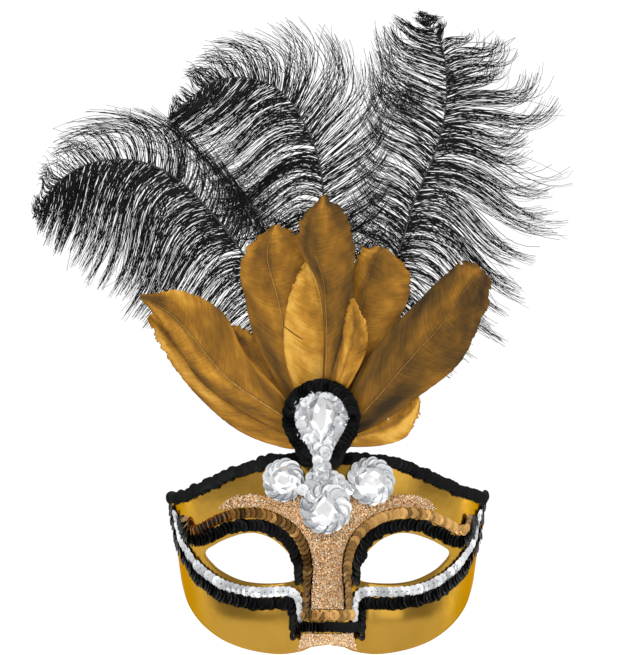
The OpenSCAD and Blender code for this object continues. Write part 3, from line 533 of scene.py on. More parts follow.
# ---------------------------------------------------------------- mask shell
def make_shell():
    eye = loop_curve(EYE, 8) - EYE_MID
    angle, reach = np.degrees(np.arctan2(eye[:, 1], eye[:, 0])), np.hypot(eye[:, 0], eye[:, 1])
    order = np.argsort(angle)
    angle, reach = angle[order], reach[order]
    steps = 6
    low = curve(LOW_EDGE, steps)[::-1]
    side = curve(SIDE_EDGE[::-1], steps)
    top = curve(TOP_EDGE, steps)[1:][::-1]
    heights = np.linspace(MID_TOP, MID_LOW, 61)
    middle = np.stack([np.zeros(61), heights], 1)
    edge = np.vstack([low, side, top, middle])
    on_mid = edge[:, 0] == 0
    away = edge - EYE_MID
    a = np.degrees(np.arctan2(away[:, 1], away[:, 0]))
    r = np.interp(a, np.r_[angle - 360, angle, angle + 360], np.r_[reach, reach, reach])
    hole = np.stack([EYE_MID[0] + r * np.cos(np.radians(a)), EYE_MID[1] + r * np.sin(np.radians(a))], 1)
    rings, cols = 26, len(edge)
    s = np.linspace(0, 1, rings + 1)[:, None, None]
    places = hole * (1 - s) + edge * s
    outer, inner = lifted(places, 0), lifted(places, -WALL)
    inner[:, :, 0] = np.where(places[:, :, 0] == 0, 0, inner[:, :, 0])
    mid = (outer + inner) / 2
    rim = mid[-1] + unit(mid[-1] - mid[-2]) * 0.35
    lip = mid[0] + unit(mid[0] - mid[1]) * 0.35
    rows = np.concatenate([lip[None], outer, rim[None], inner[::-1]])
    faces = grid(len(rows), cols, wrap_rows=True, wrap_cols=True)
    row, col = faces[:, 0] // cols, faces[:, 0] % cols
    at_edge = (row == rings + 1) | (row == rings + 2)
    joined = on_mid[col] & on_mid[(col + 1) % cols]
    faces = faces[~(at_edge & joined)]
    verts = rows.reshape(-1, 3)
    both = np.vstack([verts, verts * [-1, 1, 1]])
    obj = piece("gold_shell", both, np.vstack([faces[:, ::-1], faces + len(verts)]), "mask", GOLD_PLASTIC,
                ["mask_shell"])
    bm = bmesh.new()
    bm.from_mesh(obj.data)
    bmesh.ops.remove_doubles(bm, verts=[v for v in bm.verts if abs(v.co.x) < 1e-6], dist=1e-6)
    bmesh.ops.delete(bm, geom=[v for v in bm.verts if not v.link_faces], context="VERTS")
    bmesh.ops.recalc_face_normals(bm, faces=bm.faces[:])
    bm.to_mesh(obj.data)
    bm.free()


# ---------------------------------------------------------------- sequins
def cup(radius, sides=14, deep=0.34, hole=0.17, thick=0.09):
    """A cupped, faceted sequin with its hole, as a closed mesh in mm with its middle at the origin."""
    a = 2 * np.pi * np.arange(sides) / sides
    rings = [(hole * radius, 0.0), (0.46 * radius, 0.0), (radius, deep)]
    rows = [(r, z) for r, z in rings] + [(r, z - thick) for r, z in rings[::-1]]
    verts = np.array([[r * math.cos(t), r * math.sin(t), z] for r, z in rows for t in a])
    return verts, grid(len(rows), sides, wrap_rows=True, wrap_cols=True)[:, ::-1].tolist()


def sequin_row(points, normals, radius, tilt, seed, jitter=5.0, sides=16, spread=0.0, hole=0.13):
    """Overlapping sequins with their middles at the points, each leaning along the row."""
    rng = np.random.default_rng(seed)
    along = unit(direction(points))
    across = unit(np.cross(normals, along))
    along = np.cross(across, normals)
    frames = np.stack([along, across, normals], 1)
    n = len(points)
    frames = turned(frames, 1, np.radians(tilt + rng.normal(0, jitter, n)))
    frames = turned(frames, 0, np.radians(rng.normal(0, jitter, n)))
    frames = turned(frames, 2, np.radians(rng.normal(0, 8, n)))
    template, faces = cup(radius, sides, hole=hole)
    origins = points + across * rng.normal(0, spread + 0.08, n)[:, None] + normals * rng.normal(0, 0.05, n)[:, None]
    verts, every = stamped(template, faces, origins, frames, rng.uniform(0.96, 1.03, n))
    tone = np.repeat(rng.uniform(0, 1, n), len(template))
    return verts, every, tone


def make_strip(name, path, material, slot, gap, tilt, height, seed, radius=3.0, sides=(-1, 1), node=None,
               loose=0.0, painted_shade=(1, 1)):
    """One row of sequins on tape along a path on the right half of the face, and its mirror image."""
    points = lifted(path, height)
    dense = spaced(points, 0.25)
    run = np.concatenate([[0], np.cumsum(np.linalg.norm(np.diff(points, axis=0), axis=1))])
    track = np.concatenate([[0], np.cumsum(np.linalg.norm(np.diff(dense, axis=0), axis=1))])
    places = np.stack([np.interp(track * run[-1] / track[-1], run, np.asarray(path)[:, k]) for k in (0, 1)], 1)
    count = max(3, int(run[-1] / gap))
    pick = np.linspace(0, len(places) - 1, count + 1).astype(int)
    spots = places[pick]
    half = radius * 0.45
    left, right = shifted(path, half), shifted(path, -half)
    tape_rows = np.stack([left, np.asarray(path), right], 1)
    for sign in sides:
        lean = np.interp(np.linspace(0, 1, len(spots)), np.linspace(0, 1, len(tilt[sign])), tilt[sign])
        verts, faces, tone = sequin_row(lifted(spots, height), out_dir(spots), radius, lean, seed + sign, spread=loose)
        # the sequins' tone is scaled down along the row here: painted shade, used for the copper on the nose sides
        painted_shade_scale = np.interp(np.arange(len(spots)), np.linspace(0, len(spots) - 1, len(painted_shade)), painted_shade)
        tone = tone * np.repeat(painted_shade_scale, len(tone) // len(spots))
        tape, tape_faces = sheet_solid(lifted(tape_rows, 0.45), lifted(tape_rows, 0.2))
        if sign < 0:
            verts, tape = verts * [-1, 1, 1], tape * [-1, 1, 1]
            faces = [f[::-1] for f in faces]
        else:
            tape_faces = tape_faces[:, ::-1]
        label = node or f"{name}_{'left' if sign < 0 else 'right'}"
        piece(label + "_sequins", verts, faces, "mask", material, [label], smooth_shade=False, tone=tone)
        piece(label + "_tape", tape, tape_faces, "mask", BLACK_TAPE,
              tone=np.full(len(tape), 0.2))


def from_edge(d):
    return EDGE_ANGLE - d / (DEPTH_R * math.pi / 180)


SILVER_EDGE = from_edge(1.5 * SEQUIN_W + STRIP_GAP + 0.5)
LID_EDGE = from_edge(2.5 * SEQUIN_W + 2 * STRIP_GAP + 1.5)
SILVER = [[SILVER_EDGE, 24], [SILVER_EDGE - 0.6, 17], [SILVER_EDGE - 3.5, 9.6], [65.5, 3.4], [58, -4.6], [49.5, -11],
          [41, -15.4], [33.5, -17.6], [26.5, -18.2], [20, -17.8], [15.4, -17.6], [12.2, -18.8], [10.6, -22],
          [SILVER_NOSE, -27]]
LID = [[LID_EDGE, 21], [LID_EDGE - 1, 15.5], [LID_EDGE - 4, 11], [59, 9.4], [55, 10], [51, 11.8], [43.5, 15.6],
       [36, 18.6], [29, 19.4], [22, 17.6], [16.4, 12.8], [12.6, 6], [10.6, -2], [10, -11.4]]
HALF_STRIP = SEQUIN_W / 2 + STRIP_GAP


def nose_side(z, d):
    return beside(np.array([[SILVER_NOSE, z]]), np.array([[0.0, -1.0]]), np.array([float(d)]))[0]


SILVER_PATH = curve(SILVER + [[SILVER_NOSE, NOSE_BLACK_Z + HALF_STRIP]], 3)
LID_PATH = curve(LID, 3)
COPPER_PATH = curve([*beside(LID_PATH, direction(LID_PATH), np.full(len(LID_PATH), -PITCH))[::3],
                     nose_side(-18, -PITCH), nose_side(NOSE_COPPER_Z + HALF_STRIP, -PITCH)], 3)
TOP_PATH = np.array([[max(t, 0.01), z - SEQUIN_W / 2 - 0.3] for t, z in curve(TOP_EDGE, 3) if t <= 79])


OUTER_LOW = shifted(SILVER_PATH, PITCH)
OUTER_TOP = TOP_PATH[-1][1] - SEQUIN_W / 2 - STRIP_GAP - 0.5
NOSE_FOOT, NOSE_TURN = NOSE_BLACK_Z - SEQUIN_W / 2 - 1.6, NOSE_BLACK_Z + HALF_STRIP
OUTER_PATH = np.vstack([[OUTER_LOW[0][0], OUTER_TOP], OUTER_LOW,
                        nose_side((NOSE_TURN + NOSE_FOOT) / 2, PITCH), nose_side(NOSE_FOOT, PITCH)])


def nose_reach(z, d):
    return min(nose_side(z + k * SEQUIN_W / 2, d)[0] for k in (-1, 0, 1))


def both(*tilt):
    return {-1: tilt, 1: tilt}


def make_trims():
    black = dict(radius=3.45, loose=0.4)
    make_strip("top_trim", TOP_PATH + [0, 0.8], BLACK_SEQUIN, "black_sequin", 2.6, both(12, 16, 26), 1.3, 11, **black)
    make_strip("outer_trim", OUTER_PATH, BLACK_SEQUIN, "black_sequin", 2.6, {-1: (12, 14, 14, 12), 1: (10, 12, 12)}, 1.3, 21, **black)
    make_strip("lid_trim", LID_PATH, BLACK_SEQUIN, "black_sequin", 2.6, both(22, 14, 12), 1.7, 31, **black)
    make_strip("silver_trim", SILVER_PATH, SILVER_SEQUIN, "silver_sequin", 3.55, both(-8), 1.0, 41)
    # copper tone falls towards the nose: painted shade on the nose's side walls
    make_strip("copper_trim", COPPER_PATH, COPPER_SEQUIN, "copper_sequin", 3.0, {-1: (48, 46, 24, 12, 12), 1: (-8, -8)}, 1.3, 51,
               painted_shade=(1, 1, 0.75, 0.35, 0.3))
    for node, z, reach, material, slot, tilt, seed in (
            ("nose_copper_trim", NOSE_COPPER_Z, nose_reach(NOSE_COPPER_Z, -HALF_STRIP), COPPER_SEQUIN, "copper_sequin", 12, 61),
            ("nose_black_trim", NOSE_BLACK_Z, nose_reach(NOSE_BLACK_Z, PITCH - HALF_STRIP), BLACK_SEQUIN, "black_sequin", 16, 71)):
        path = np.array([[reach * k / 12, z] for k in range(-12, 13)])
        make_strip(node, path, material, slot, 2.6, both(tilt), 1.3, seed, sides=(1,), node=node, loose=0.2)


# ---------------------------------------------------------------- glitter
def flakes(points, normals, size, seed):
    """Small square glitter plates lying at all angles near the surface."""
    rng = np.random.default_rng(seed)
    n = len(points)
    plate = np.array([[x, y, z] for z in (-0.03, 0.03) for x, y in ((-0.5, -0.35), (0.5, -0.5), (0.5, 0.4), (-0.4, 0.5))])
    faces = [[3, 2, 1, 0], [4, 5, 6, 7], [0, 1, 5, 4], [1, 2, 6, 5], [2, 3, 7, 6], [3, 0, 4, 7]]
    lean = unit(normals + rng.normal(0, 0.38, (n, 3)))
    side = unit(np.cross(lean, rng.normal(0, 1, (n, 3))))
    frames = np.stack([side, np.cross(lean, side), lean], 1)
    verts, every = stamped(plate, faces, points + normals * rng.uniform(0.0, 0.25, n)[:, None], frames,
                           rng.uniform(0.6, 1.25, n) * size)
    return verts, every


def make_glitter_skin():
    side = shifted(COPPER_PATH, -HALF_STRIP)[::-1]
    side = side[side[:, 0] <= WING[-1][0]]
    wing = curve(WING, 12)
    column = np.stack([np.zeros(40), np.linspace(side[0][1], WING[0][1], 40)], 1)
    inside = spaced_by_number(np.vstack([column, wing[1:]]), 150, 1.0)
    across = spaced_by_number(side, 150, 1.0)
    cols = np.linspace(0, 1, 27)[None, :, None]
    places = inside[:, None] * (1 - cols) + across[:, None] * cols
    rng = np.random.default_rng(5)
    grain = rng.uniform(0, 0.3, places.shape[:2])
    grain[:, 0] = 0.15
    front = lifted(places, GLUE_GAP + GLITTER_T) + out_dir(places) * (grain - 0.15)[..., None]
    back = lifted(places, GLUE_GAP)
    front[:, 0, 0] = back[:, 0, 0] = 0
    verts, faces = sheet_solid(front, back)
    both = np.vstack([verts, verts * [-1, 1, 1]])
    piece("glitter_skin", both, np.vstack([faces[:, ::-1], faces + len(verts)]), "mask", GLITTER,
          ["glitter_film"])
    u, v = rng.uniform(0, 149, 5200), rng.uniform(0, 26, 5200)
    i, j = u.astype(int), v.astype(int)
    fu, fv = (u - i)[:, None], (v - j)[:, None]
    spots = ((places[i, j] * (1 - fv) + places[i, np.minimum(j + 1, 26)] * fv) * (1 - fu)
             + (places[np.minimum(i + 1, 149), j] * (1 - fv) + places[np.minimum(i + 1, 149), np.minimum(j + 1, 26)] * fv) * fu)
    spots[:, 0] *= rng.choice([-1, 1], len(spots))
    points, normals = lifted(spots, GLUE_GAP + GLITTER_T), out_dir(spots)
    verts, faces = flakes(points, normals, 0.62, 6)
    piece("glitter_flakes", verts, faces, "mask", GLITTER, smooth_shade=False)
    top = NOSE_BLACK_Z - HALF_STRIP
    tip = np.zeros((49, 17, 2))
    for k in range(-24, 25):
        for s in range(17):
            t = k / 4 * (2.0 + (1.6 - 2.0) * s / 16)
            low = np.interp(abs(t), [0, 7, 12], [-46, -47.1, -49.9])
            tip[k + 24, s] = t, low + (top - low) * s / 16
    grain = rng.uniform(-0.12, 0.15, tip.shape[:2])
    verts, faces = sheet_solid(lifted(tip, GLUE_GAP + GLITTER_T) + out_dir(tip) * grain[..., None], lifted(tip, GLUE_GAP))
    piece("nose_tip_skin", verts, faces, "mask", GLITTER, ["nose_tip_glitter"])


def spaced_by_number(points, count, power):
    """A polyline read at a number of places, evenly by point number, as the film's rows are."""
    p = np.asarray(points, float)
    at = np.linspace(0, 1, count) ** power * (len(p) - 1)
    return np.stack([np.interp(at, np.arange(len(p)), p[:, k]) for k in (0, 1)], 1)


# ---------------------------------------------------------------- rosettes, plaque and stem
def face_at(x, z):
    return on_face(place_of(np.asarray(x, float), np.asarray(z, float)))


def seat(at, r):
    """Frame of a rosette: its base point, and three axes with the last one outward."""
    x, z = at
    out = unit(np.cross(face_at(x + r, z) - face_at(x - r, z), face_at(x, z + r) - face_at(x, z - r)))
    mid = face_at(x, z)
    lift = max(float((face_at(x + r * s * math.cos(a), z + r * s * math.sin(a)) - mid) @ out)
               for s in (0.25, 0.5, 0.75, 1.0) for a in np.radians(np.arange(0, 360, 15)))
    base = mid + out * (max(lift, 0) + TRIM_TOP + 0.3)
    side = unit(np.cross(np.array([0.0, 0.0, 1.0]), out))
    return base, np.stack([side, np.cross(out, side), out])


def placed(verts, base, axes):
    return np.asarray(verts, float) @ axes + base


def teardrop(w, h, n):
    a = 2 * np.pi * (np.arange(n) + 0.5) / n
    return np.stack([w / 2 * np.sin(a) * np.sin(a / 2) / 0.77, h / 2 * np.cos(a)], 1)


def round_outline(r, n):
    a = 2 * np.pi * (np.arange(n) + 0.5) / n
    return r * np.stack([np.cos(a), np.sin(a)], 1)


def make_stone(name, outline, low, tall, base, axes, body, node):
    """A foil-backed cut stone on an outline: girdle, two rows of crown facets and a flat table."""
    outline = np.asarray(outline)
    mid = outline.mean(0)
    half = (outline + np.roll(outline, -1, 0)) / 2
    rings = [(outline, 1.0, 0.0), (outline, 1.0, 0.14), (half[::2], 0.84, 0.55), (outline[1::2], 0.6, 0.86), (half[::4], 0.42, 1.0)]
    points = [(*(mid + (q - mid) * scale), low + tall * up) for ring, scale, up in rings for q in ring]
    verts, faces = hull(points)
    rng = np.random.default_rng(len(name) + 3)
    split_v, split_f, tone = [], [], []
    for f in faces:
        corners = verts[f]
        normal = np.cross(corners[1] - corners[0], corners[2] - corners[0])
        # each facet is given a light or dark tone: painted reflections in the cut facets; the facet facing straight out
        # is painted bright
        painted_facet_light = rng.choice([0.12, 0.35, 0.6, 0.85, 1.0], p=[0.14, 0.22, 0.24, 0.22, 0.18])
        if abs(normal[2]) > 0.9 * np.linalg.norm(normal):
            painted_facet_light = 0.9
        start = len(split_v)
        split_v += [verts[k] for k in f]
        split_f.append(list(range(start, start + len(f))))
        tone += [painted_facet_light] * len(f)
    piece(name, placed(split_v, base, axes), split_f, body, GEM, [node], smooth_shade=False, tone=tone)


def make_felt(name, outline, low, high, base, axes, body, node, seed, material=None):
    """A felt pad on an outline, with soft rounded edges and a fuzzy face."""
    outline = np.asarray(outline)
    mid = outline.mean(0)
    rng = np.random.default_rng(seed)
    n = len(outline)
    profile = [(0.0, 0), (0.35, 0), (0.7, 0), (0.93, 0.02), (0.99, 0.2), (1.0, 0.5), (0.99, 0.8), (0.93, 0.98), (0.7, 1), (0.35, 1), (0.0, 1)]
    rows = []
    for s, h in profile:
        row = np.column_stack([mid + (outline - mid) * s, np.full(n, low + (high - low) * h)])
        rows.append(row + (rng.normal(0, 0.05, (n, 3)) if s else 0))
    verts = np.array(rows)
    piece(name, placed(verts.reshape(-1, 3), base, axes), grid(len(rows), n, wrap_cols=True)[:, ::-1], body,
          material or FELT, [node] if node else [])


def petals(radius, count, size, tilt, height, seed, phase=0.0, jitter=6.0):
    """A ring of overlapping sequins round a stone, in the rosette's own frame."""
    rng = np.random.default_rng(seed)
    a = 2 * np.pi * (np.arange(count) + phase) / count
    spots = np.stack([radius * np.cos(a), radius * np.sin(a), np.full(count, height)], 1)
    outward = np.stack([np.cos(a), np.sin(a), 0 * a], 1)
    round_way = np.stack([-np.sin(a), np.cos(a), 0 * a], 1)
    frames = np.stack([round_way, -outward, np.tile([0.0, 0.0, 1.0], (count, 1))], 1)
    frames = turned(frames, 0, np.radians(tilt + rng.normal(0, jitter, count)))
    frames = turned(frames, 1, np.radians(14 + rng.normal(0, jitter, count)))
    template, faces = cup(size, 20, 0.45, 0.07)
    verts, every = stamped(template, faces, spots, frames, rng.uniform(0.92, 1.08, count))
    return verts, every, np.repeat(rng.uniform(0, 1, count), len(template))


def joined(parts):
    verts, faces, tone, start = [], [], [], 0
    for v, f, t in parts:
        verts.append(v)
        faces += [[k + start for k in one] for one in f]
        tone.append(t)
        start += len(v)
    return np.vstack(verts), faces, np.concatenate(tone)


PLAQUE_AXES = np.array([[1.0, 0, 0], [0, 0, 1.0], [0, -1.0, 0]])


def make_rosettes():
    for number, (label, (at, r)) in enumerate(ROSETTES.items()):
        base, axes = seat(at, r)
        make_felt(f"{label}_rosette_felt", round_outline(r - 1, 48), 0, FELT_T, base, axes, "mask", f"rosette_{label}_felt", number)
        if label == "low":
            tall = 2 * (r - RING_W - 0.4)
            make_stone("low_rosette_stone", teardrop(tall * 0.87, tall, 16), FELT_T + 1.4, RING_T + GEM_H - 1.4, base, axes, "mask",
                       "rosette_low_gem")
        else:
            make_stone(f"{label}_rosette_stone", round_outline(r - RING_W - 0.2, 16), FELT_T + 1.4, RING_T + GEM_H - 1.4, base, axes,
                       "mask", f"rosette_{label}_gem")
        under = petals(r - 4.2, 13, 4.4, -7, FELT_T + 0.5, 90 + number, jitter=3)
        over = petals(r - 5.2, 12, 3.9, -9, FELT_T + 1.0, 95 + number, 0.5, jitter=3)
        verts, faces, tone = joined([under, over])
        piece(f"{label}_rosette_petals", placed(verts, base, axes), faces, "mask", CLEAR_SEQUIN,
              [f"rosette_{label}_ring"], smooth_shade=False, tone=tone)


def make_web():
    """Silver cloth and sequins between the three rosettes, where the stem widens into them."""
    v, u = np.linspace(0, 1, 20)[:, None], np.linspace(-1, 1, 22)[None]
    half = 10.8 - 6.0 * v**2
    x = -1.2 - 2.3 * v + half * u
    z = 37.5 + 14.0 * v + 0 * u
    places = np.stack([x, z], -1)
    y = face_at(x, z)[..., 1] - 3.4 - 1.6 * v - crumpled(places, 0.25, 17)
    front = np.stack([x, y, z], -1)
    verts, faces = sheet_solid(front, front + [0, 0.6, 0])
    spots = np.array([[-10, 41], [-5.5, 46.5], [8.5, 41.5], [3.5, 46], [-9, 45.5], [-1.5, 43.8], [6.5, 44.2], [-5, 42.8],
                      [-1, 47.5], [2.8, 42.9], [11.5, 38.6], [-13.6, 38.6]])
    rng = np.random.default_rng(18)
    n = len(spots)
    depth = face_at(spots[:, 0], spots[:, 1])[:, 1] - 4.2 - rng.uniform(0, 1.2, n)
    frames = np.tile(PLAQUE_AXES, (n, 1, 1))
    for axis in range(3):
        frames = turned(frames, axis, np.radians(rng.normal(0, 13 if axis < 2 else 90, n)))
    template, cup_faces = cup(3.3, 18, 0.4, 0.07)
    more, every = stamped(template, cup_faces, np.stack([spots[:, 0], depth, spots[:, 1]], 1), frames)
    verts, faces, tone = joined([(verts, faces[:, ::-1].tolist(), np.full(len(verts), 0.4)),
                                 (more, every, np.repeat(rng.uniform(0, 1, n), len(template)))])
    piece("rosette_web", verts, faces, "mask", CLEAR_SEQUIN, smooth_shade=False, tone=tone)


def flat_path():
    border_r = PLAQUE_R - BORDER_W / 2
    lobe_x = STEM_W / 2 + 0.3 + BORDER_W / 2
    right = [[lobe_x, -24], [lobe_x + 2.2, -18], [border_r * 0.8, -10.5]]
    right += [[border_r * math.cos(math.radians(a)), border_r * math.sin(math.radians(a))] for a in range(-15, 76, 15)]
    return curve(right + [[0, border_r]] + [[-x, z] for x, z in right[::-1]], 6)


def flat_shift(path, d):
    t = unit(direction(path))
    return path + np.stack([-t[:, 1], t[:, 0]], 1) * d


def on_plaque(y):
    return np.array([PLAQUE_X, y, PLAQUE_Z])


def crumpled(places, depth, seed):
    """Heights of crumpled foil cloth over a set of places, in mm."""
    rng = np.random.default_rng(seed)
    z = np.zeros(places.shape[:-1])
    for _ in range(26):
        k = rng.normal(0, 1, 2)
        k *= rng.uniform(0.5, 1.5) / np.linalg.norm(k)
        z += np.abs(np.sin(places @ k + rng.uniform(0, 6.28))) * rng.uniform(0.3, 1)
    return depth * (z - z.mean()) / z.std()


def make_plaque():
    path = flat_path()
    fine = spaced(path, 2.3)
    points = np.column_stack([fine, np.full(len(fine), 1.3)])
    normals = np.tile([0.0, 0, 1.0], (len(points), 1))
    rows = [sequin_row(points, normals, 3.6, 18, 101, 6, spread=0.12)]
    inner = spaced(flat_shift(path, 1.2), 2.6)
    rows.append(sequin_row(np.column_stack([inner, np.full(len(inner), 1.9)]), np.tile([0.0, 0, 1.0], (len(inner), 1)),
                           2.6, 20, 102, 9))
    verts, faces, tone = joined(rows)
    piece("plaque_sequins", placed(verts, on_plaque(CARD_FRONT), PLAQUE_AXES), faces, "plume_head", BLACK_SEQUIN,
          ["plaque_border"], smooth_shade=False, tone=tone)
    band = np.stack([flat_shift(path, d) for d in (-2.6, 0, 2.6)], 1)
    front = np.concatenate([band, np.full((*band.shape[:2], 1), 0.6)], -1)
    back = np.concatenate([band, np.full((*band.shape[:2], 1), 0.05)], -1)
    tape, tape_faces = sheet_solid(front, back)
    piece("plaque_tape", placed(tape, on_plaque(CARD_FRONT), PLAQUE_AXES), tape_faces, "plume_head", BLACK_TAPE)

    edge = flat_shift(path, BORDER_W / 2 - 0.6)
    keep = edge[edge[:, 1] > -21.0]
    rim = spaced(np.vstack([keep, keep[:1]]), 1.2)
    mid = np.array([0.0, 0.0])
    s = np.linspace(0, 1, 16)[:, None, None]
    places = mid * (1 - s) + rim * s
    front = np.concatenate([places, (0.75 + crumpled(places, 0.2, 4))[..., None]], -1)
    back = np.concatenate([places, np.full((*places.shape[:2], 1), 0.1)], -1)
    verts, faces = sheet_solid(front, back)
    field_parts = [(verts, faces.tolist(), np.full(len(verts), 0.5))]
    rng = np.random.default_rng(8)
    spots, seen = [], 0
    while len(spots) < 26 and seen < 4000:
        seen += 1
        q = rng.uniform([-14, -21], [14, 16])
        r = np.hypot(*q)
        if (q[1] > -12 and 8.2 < r < 14.2) or (q[1] <= -12 and abs(q[0]) < 3.9):
            if all(np.hypot(*(q - p)) > 3.2 for p in spots):
                spots.append(q)
    spots = np.array(spots)
    n = len(spots)
    frames = np.tile(np.eye(3), (n, 1, 1))
    for axis in range(3):
        frames = turned(frames, axis, np.radians(rng.normal(0, 8 if axis < 2 else 90, n)))
    template, cup_faces = cup(3.1, 14, 0.4, 0.08)
    verts, every = stamped(template, cup_faces, np.column_stack([spots, rng.uniform(1.1, 1.5, n)]), frames)
    field_parts.append((verts, every, np.repeat(rng.uniform(0, 1, n), len(template))))
    verts, faces, tone = joined(field_parts)
    piece("plaque_foil", placed(verts, on_plaque(CARD_FRONT), PLAQUE_AXES), faces, "plume_head", SILVER_SEQUIN,
          ["plaque_field"], smooth_shade=False, tone=tone)
    drop = teardrop(16, 26, 20) * [1, -1]
    make_stone("plaque_stone", drop[::-1] + [0, -2.0], 1.5, 4.4, on_plaque(CARD_FRONT), PLAQUE_AXES, "plume_head", "plaque_gem")


def make_stem():
    low, high = 43.2, 61.0
    u, v = np.linspace(-1, 1, 13), np.linspace(low, high, 34)
    x = PLAQUE_X + STEM_W / 2 * u[None] * (1 + 0.05 * np.sin(v[:, None] * 1.1))
    z = np.repeat(v[:, None], 13, 1)
    places = np.stack([x, z], -1)
    y = CARD_FRONT - 1.3 - crumpled(places, 0.3, 12) - 0.5 * (1 - u[None] ** 2)
    front = np.stack([x, y, z], -1)
    back = front + [0, 0.5, 0]
    verts, faces = sheet_solid(front, back)
    rng = np.random.default_rng(14)
    spots = [np.array([PLAQUE_X + rng.uniform(-3, 3), CARD_FRONT - 2.3 - rng.uniform(0, 0.4), h]) for h in np.linspace(low + 1, high - 1, 20)]
    frames = np.tile(np.array([[1.0, 0, 0], [0, 0, 1.0], [0, -1.0, 0]]), (20, 1, 1))
    for axis in range(3):
        frames = turned(frames, axis, np.radians(rng.normal(0, 10 if axis < 2 else 90, 20)))
    template, cup_faces = cup(2.9, 14, 0.35, 0.08)
    more, every = stamped(template, cup_faces, np.array(spots), frames)
    verts, faces, tone = joined([(verts, faces[:, ::-1].tolist(), np.full(len(verts), 0.4)),
                                 (more, every, np.repeat(rng.uniform(0, 1, 20), len(template)))])
    stem = piece("stem_foil", verts, faces, None, SILVER_SEQUIN, ["stem_tail"], smooth_shade=False, tone=tone)
    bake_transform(stem)
    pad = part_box("stem_pad")
    lo, hi = np.array(pad[0]) / MM, np.array(pad[1]) / MM
    c = (lo + hi) / 2
    w, h = (hi[0] - lo[0]) / 2, (hi[2] - lo[2]) / 2
    a = 2 * np.pi * np.arange(48) / 48
    outline = np.stack([w * np.sign(np.cos(a)) * np.abs(np.cos(a)) ** 0.35, h * np.sign(np.sin(a)) * np.abs(np.sin(a)) ** 0.35], 1)
    make_felt("stem_felt", outline, 0, hi[1] - lo[1], np.array([c[0], hi[1], c[2]]), PLAQUE_AXES, "mask", "stem_pad", 31)


# ---------------------------------------------------------------- gold feathers
def bow(r):
    return 0.16 * r - 0.0009 * r * r


# Shaft place from the left edge at root, middle and tip; tone; tone of the right half; camber; wave; splits
# A split is (side, place along the shaft, where it starts across the vane, width in mm)
FEATHERS = {
    "curl": ((0.5, 0.4, 0.5), 0.6, 0.1, 1.6, 0.7, [(1, 0.5, 0.6, 0.9)]),
    "tall": ((0.1, 0.12, 0.42), 0.4, -0.05, 1.0, 0.6, []),
    "far_left": ((0.5, 0.33, 0.45), 0.52, 0.02, 1.5, 0.9, []),
    "far_right": ((0.7, 0.48, 0.4), 0.33, -0.06, 1.4, 0.8, []),
    "front": ((0.8, 0.86, 0.6), 0.9, -0.12, 0.5, 0.3, [(-1, 0.45, 0.6, 0.3)]),
    "low_right": ((0.5, 0.5, 0.5), 0.76, 0.08, 1.6, 1.0, [(-1, 0.5, 0.4, 0.6)]),
    "mid_left": ((0.5, 0.5, 0.35), 0.52, 0.04, 0.9, 0.6, []),
    "mid_right": ((0.5, 0.25, 0.3), 0.52, 0.0, 1.0, 0.6, []),
    "short_left": ((0.5, 0.5, 0.5), 0.62, -0.08, 1.0, 0.6, []),
    "low_left": ((0.5, 0.42, 0.5), 0.68, 0.0, 1.6, 0.9, [])}
BOLD_SHAFTS = ("far_left", "mid_left")
# How far the ends of some feathers bulge to a blunt tip, in mm
BLUNT = {"tall": 2.2, "mid_left": 2.6, "mid_right": 3.2, "far_right": 2.4, "low_right": 1.5, "short_left": 1.5}
SPREAD = 1.25


def layer_y(i, r):
    """Middle depth of gold feather i at a distance from the root: the layers open away from the plaque."""
    return GOLD_FIRST + i * GOLD_PITCH + GOLD_T / 2 + bow(r) - SPREAD * (9 - i) * smooth((r - 16) / 34)


